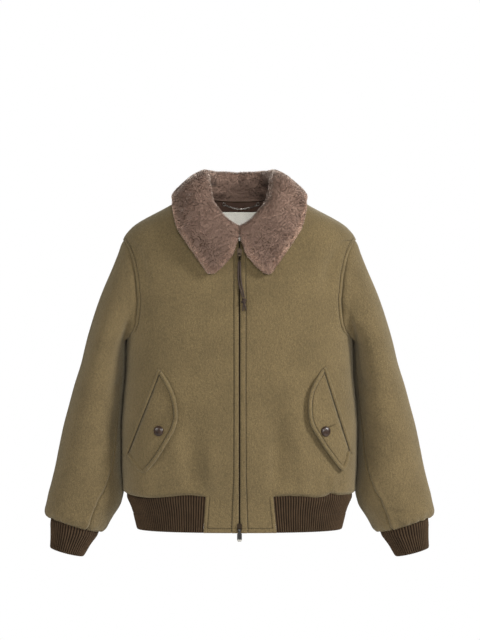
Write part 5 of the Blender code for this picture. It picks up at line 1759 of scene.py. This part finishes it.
dress(back_panel(wool), "back")
dress(hem_rib(knit), "hem_band")
dress(under_collar(wool), "under_collar")
fur = fur_pieces(fur_skin("fur_skin", FUR_TAUPE), pile("taupe_fur", FUR_TAUPE, FUR_TIP))
for piece in fur:
    dress(piece, "collar_fur")
facing = strip_inside("facing", FACING_ROWS, FACING_HALF_WIDTH, FACING_THICKNESS, facing_cloth)
dress(facing, "neck_facing")
label = strip_inside("label", LABEL_ROWS, LABEL_HALF_WIDTH, LABEL_THICKNESS, label_cloth)
dress(label, "neck_label")
dress(chain(steel), "hanger_chain")
dress(zip_teeth(teeth_painted_shade), "zip_teeth")

knot = dress(thong_knot(cord_leather), "thong_knot")
for side, sign in SIDES:
    line = finer(thong_line(sign))
    strand = dress(tube("thong_strand_" + side, line, THONG_RADIUS, cord_leather),
                   "thong_" + side)

for name, look in (("slider_top", bronze), ("slider_link", bronze), ("slider_bottom", bronze),
                   ("pull_tab", tipped_tab(frame["nodes"]["pull_tab"]))):
    for place in frame["nodes"][name].material_slots:
        place.material = look

# ---------------------------------------------------------------- floor, light and camera


LIGHTS = {  # place, height of the point on the centre line that it aims at, size, power
    "key":   ((3.3, -2.0, 1.5), -0.2, 0.9, 222.0),
    "front": ((0.4, -4.3, 0.8), -0.25, 1.2, 122.0),
    "left":  ((-3.3, -2.1, 0.9), -0.25, 1.4, 66.0),
    "back":  ((0.8, 3.7, 1.7), -0.25, 1.6, 130.0),
}  # fmt: skip


def area_light(name, place, aim_height, size, power):
    data = bpy.data.lights.new(name, "AREA")
    data.shape = "RECTANGLE"
    data.size = data.size_y = size
    data.energy = power
    light = placed(name, data)
    light.location = place
    way = Vector((0.0, 0.0, aim_height)) - Vector(place)
    light.rotation_euler = way.to_track_quat("-Z", "Y").to_euler()


def white_surroundings(strength):
    """A world that is plain white behind the object and lights it more softly."""
    world_data = bpy.data.worlds.new("surroundings")
    world_data.use_nodes = True
    nodes, links = world_data.node_tree.nodes, world_data.node_tree.links
    background = nodes["Background"]
    background.inputs["Color"].default_value = (1.0, 1.0, 1.0, 1.0)
    seen = nodes.new("ShaderNodeBackground")
    seen.inputs["Color"].default_value = (1.0, 1.0, 1.0, 1.0)
    background.inputs["Strength"].default_value = strength
    path, mixed = nodes.new("ShaderNodeLightPath"), nodes.new("ShaderNodeMixShader")
    links.new(path.outputs["Is Camera Ray"], mixed.inputs[0])
    links.new(background.outputs[0], mixed.inputs[1])
    links.new(seen.outputs[0], mixed.inputs[2])
    links.new(mixed.outputs[0], nodes["World Output"].inputs["Surface"])
    bpy.context.scene.world = world_data


def floor_plane(height, half_width, half_depth):
    points = [(x * half_width, y * half_depth, height) for x, y in
              ((-1, -1), (1, -1), (1, 1), (-1, 1))]
    paint = Look("floor_paint", (0.8, 0.8, 0.8), 0.9)
    cloudy = paint.noise(3.0)
    paint.feed("Base Color", paint.ramp(cloudy, ((0.3, 0.78), (0.7, 0.82))))
    floor = make_mesh("floor", np.array(points), np.array([[0, 1, 2, 3]]), paint.material)


white_surroundings(0.13)
floor_plane(-960.0, 3000.0, 2000.0)
for name, (place, aim_height, size, power) in LIGHTS.items():
    area_light(name, place, aim_height, size, power)

camera_data = bpy.data.cameras.new("camera")
camera_data.lens = 126.56
camera_data.sensor_width = 36.0
camera = placed("camera", camera_data)
camera.location = (0.001, -4.5, -0.223)
camera.rotation_euler = (math.radians(90), 0.0, 0.0)
bpy.context.scene.camera = camera
bpy.context.scene.view_settings.view_transform = "Standard"
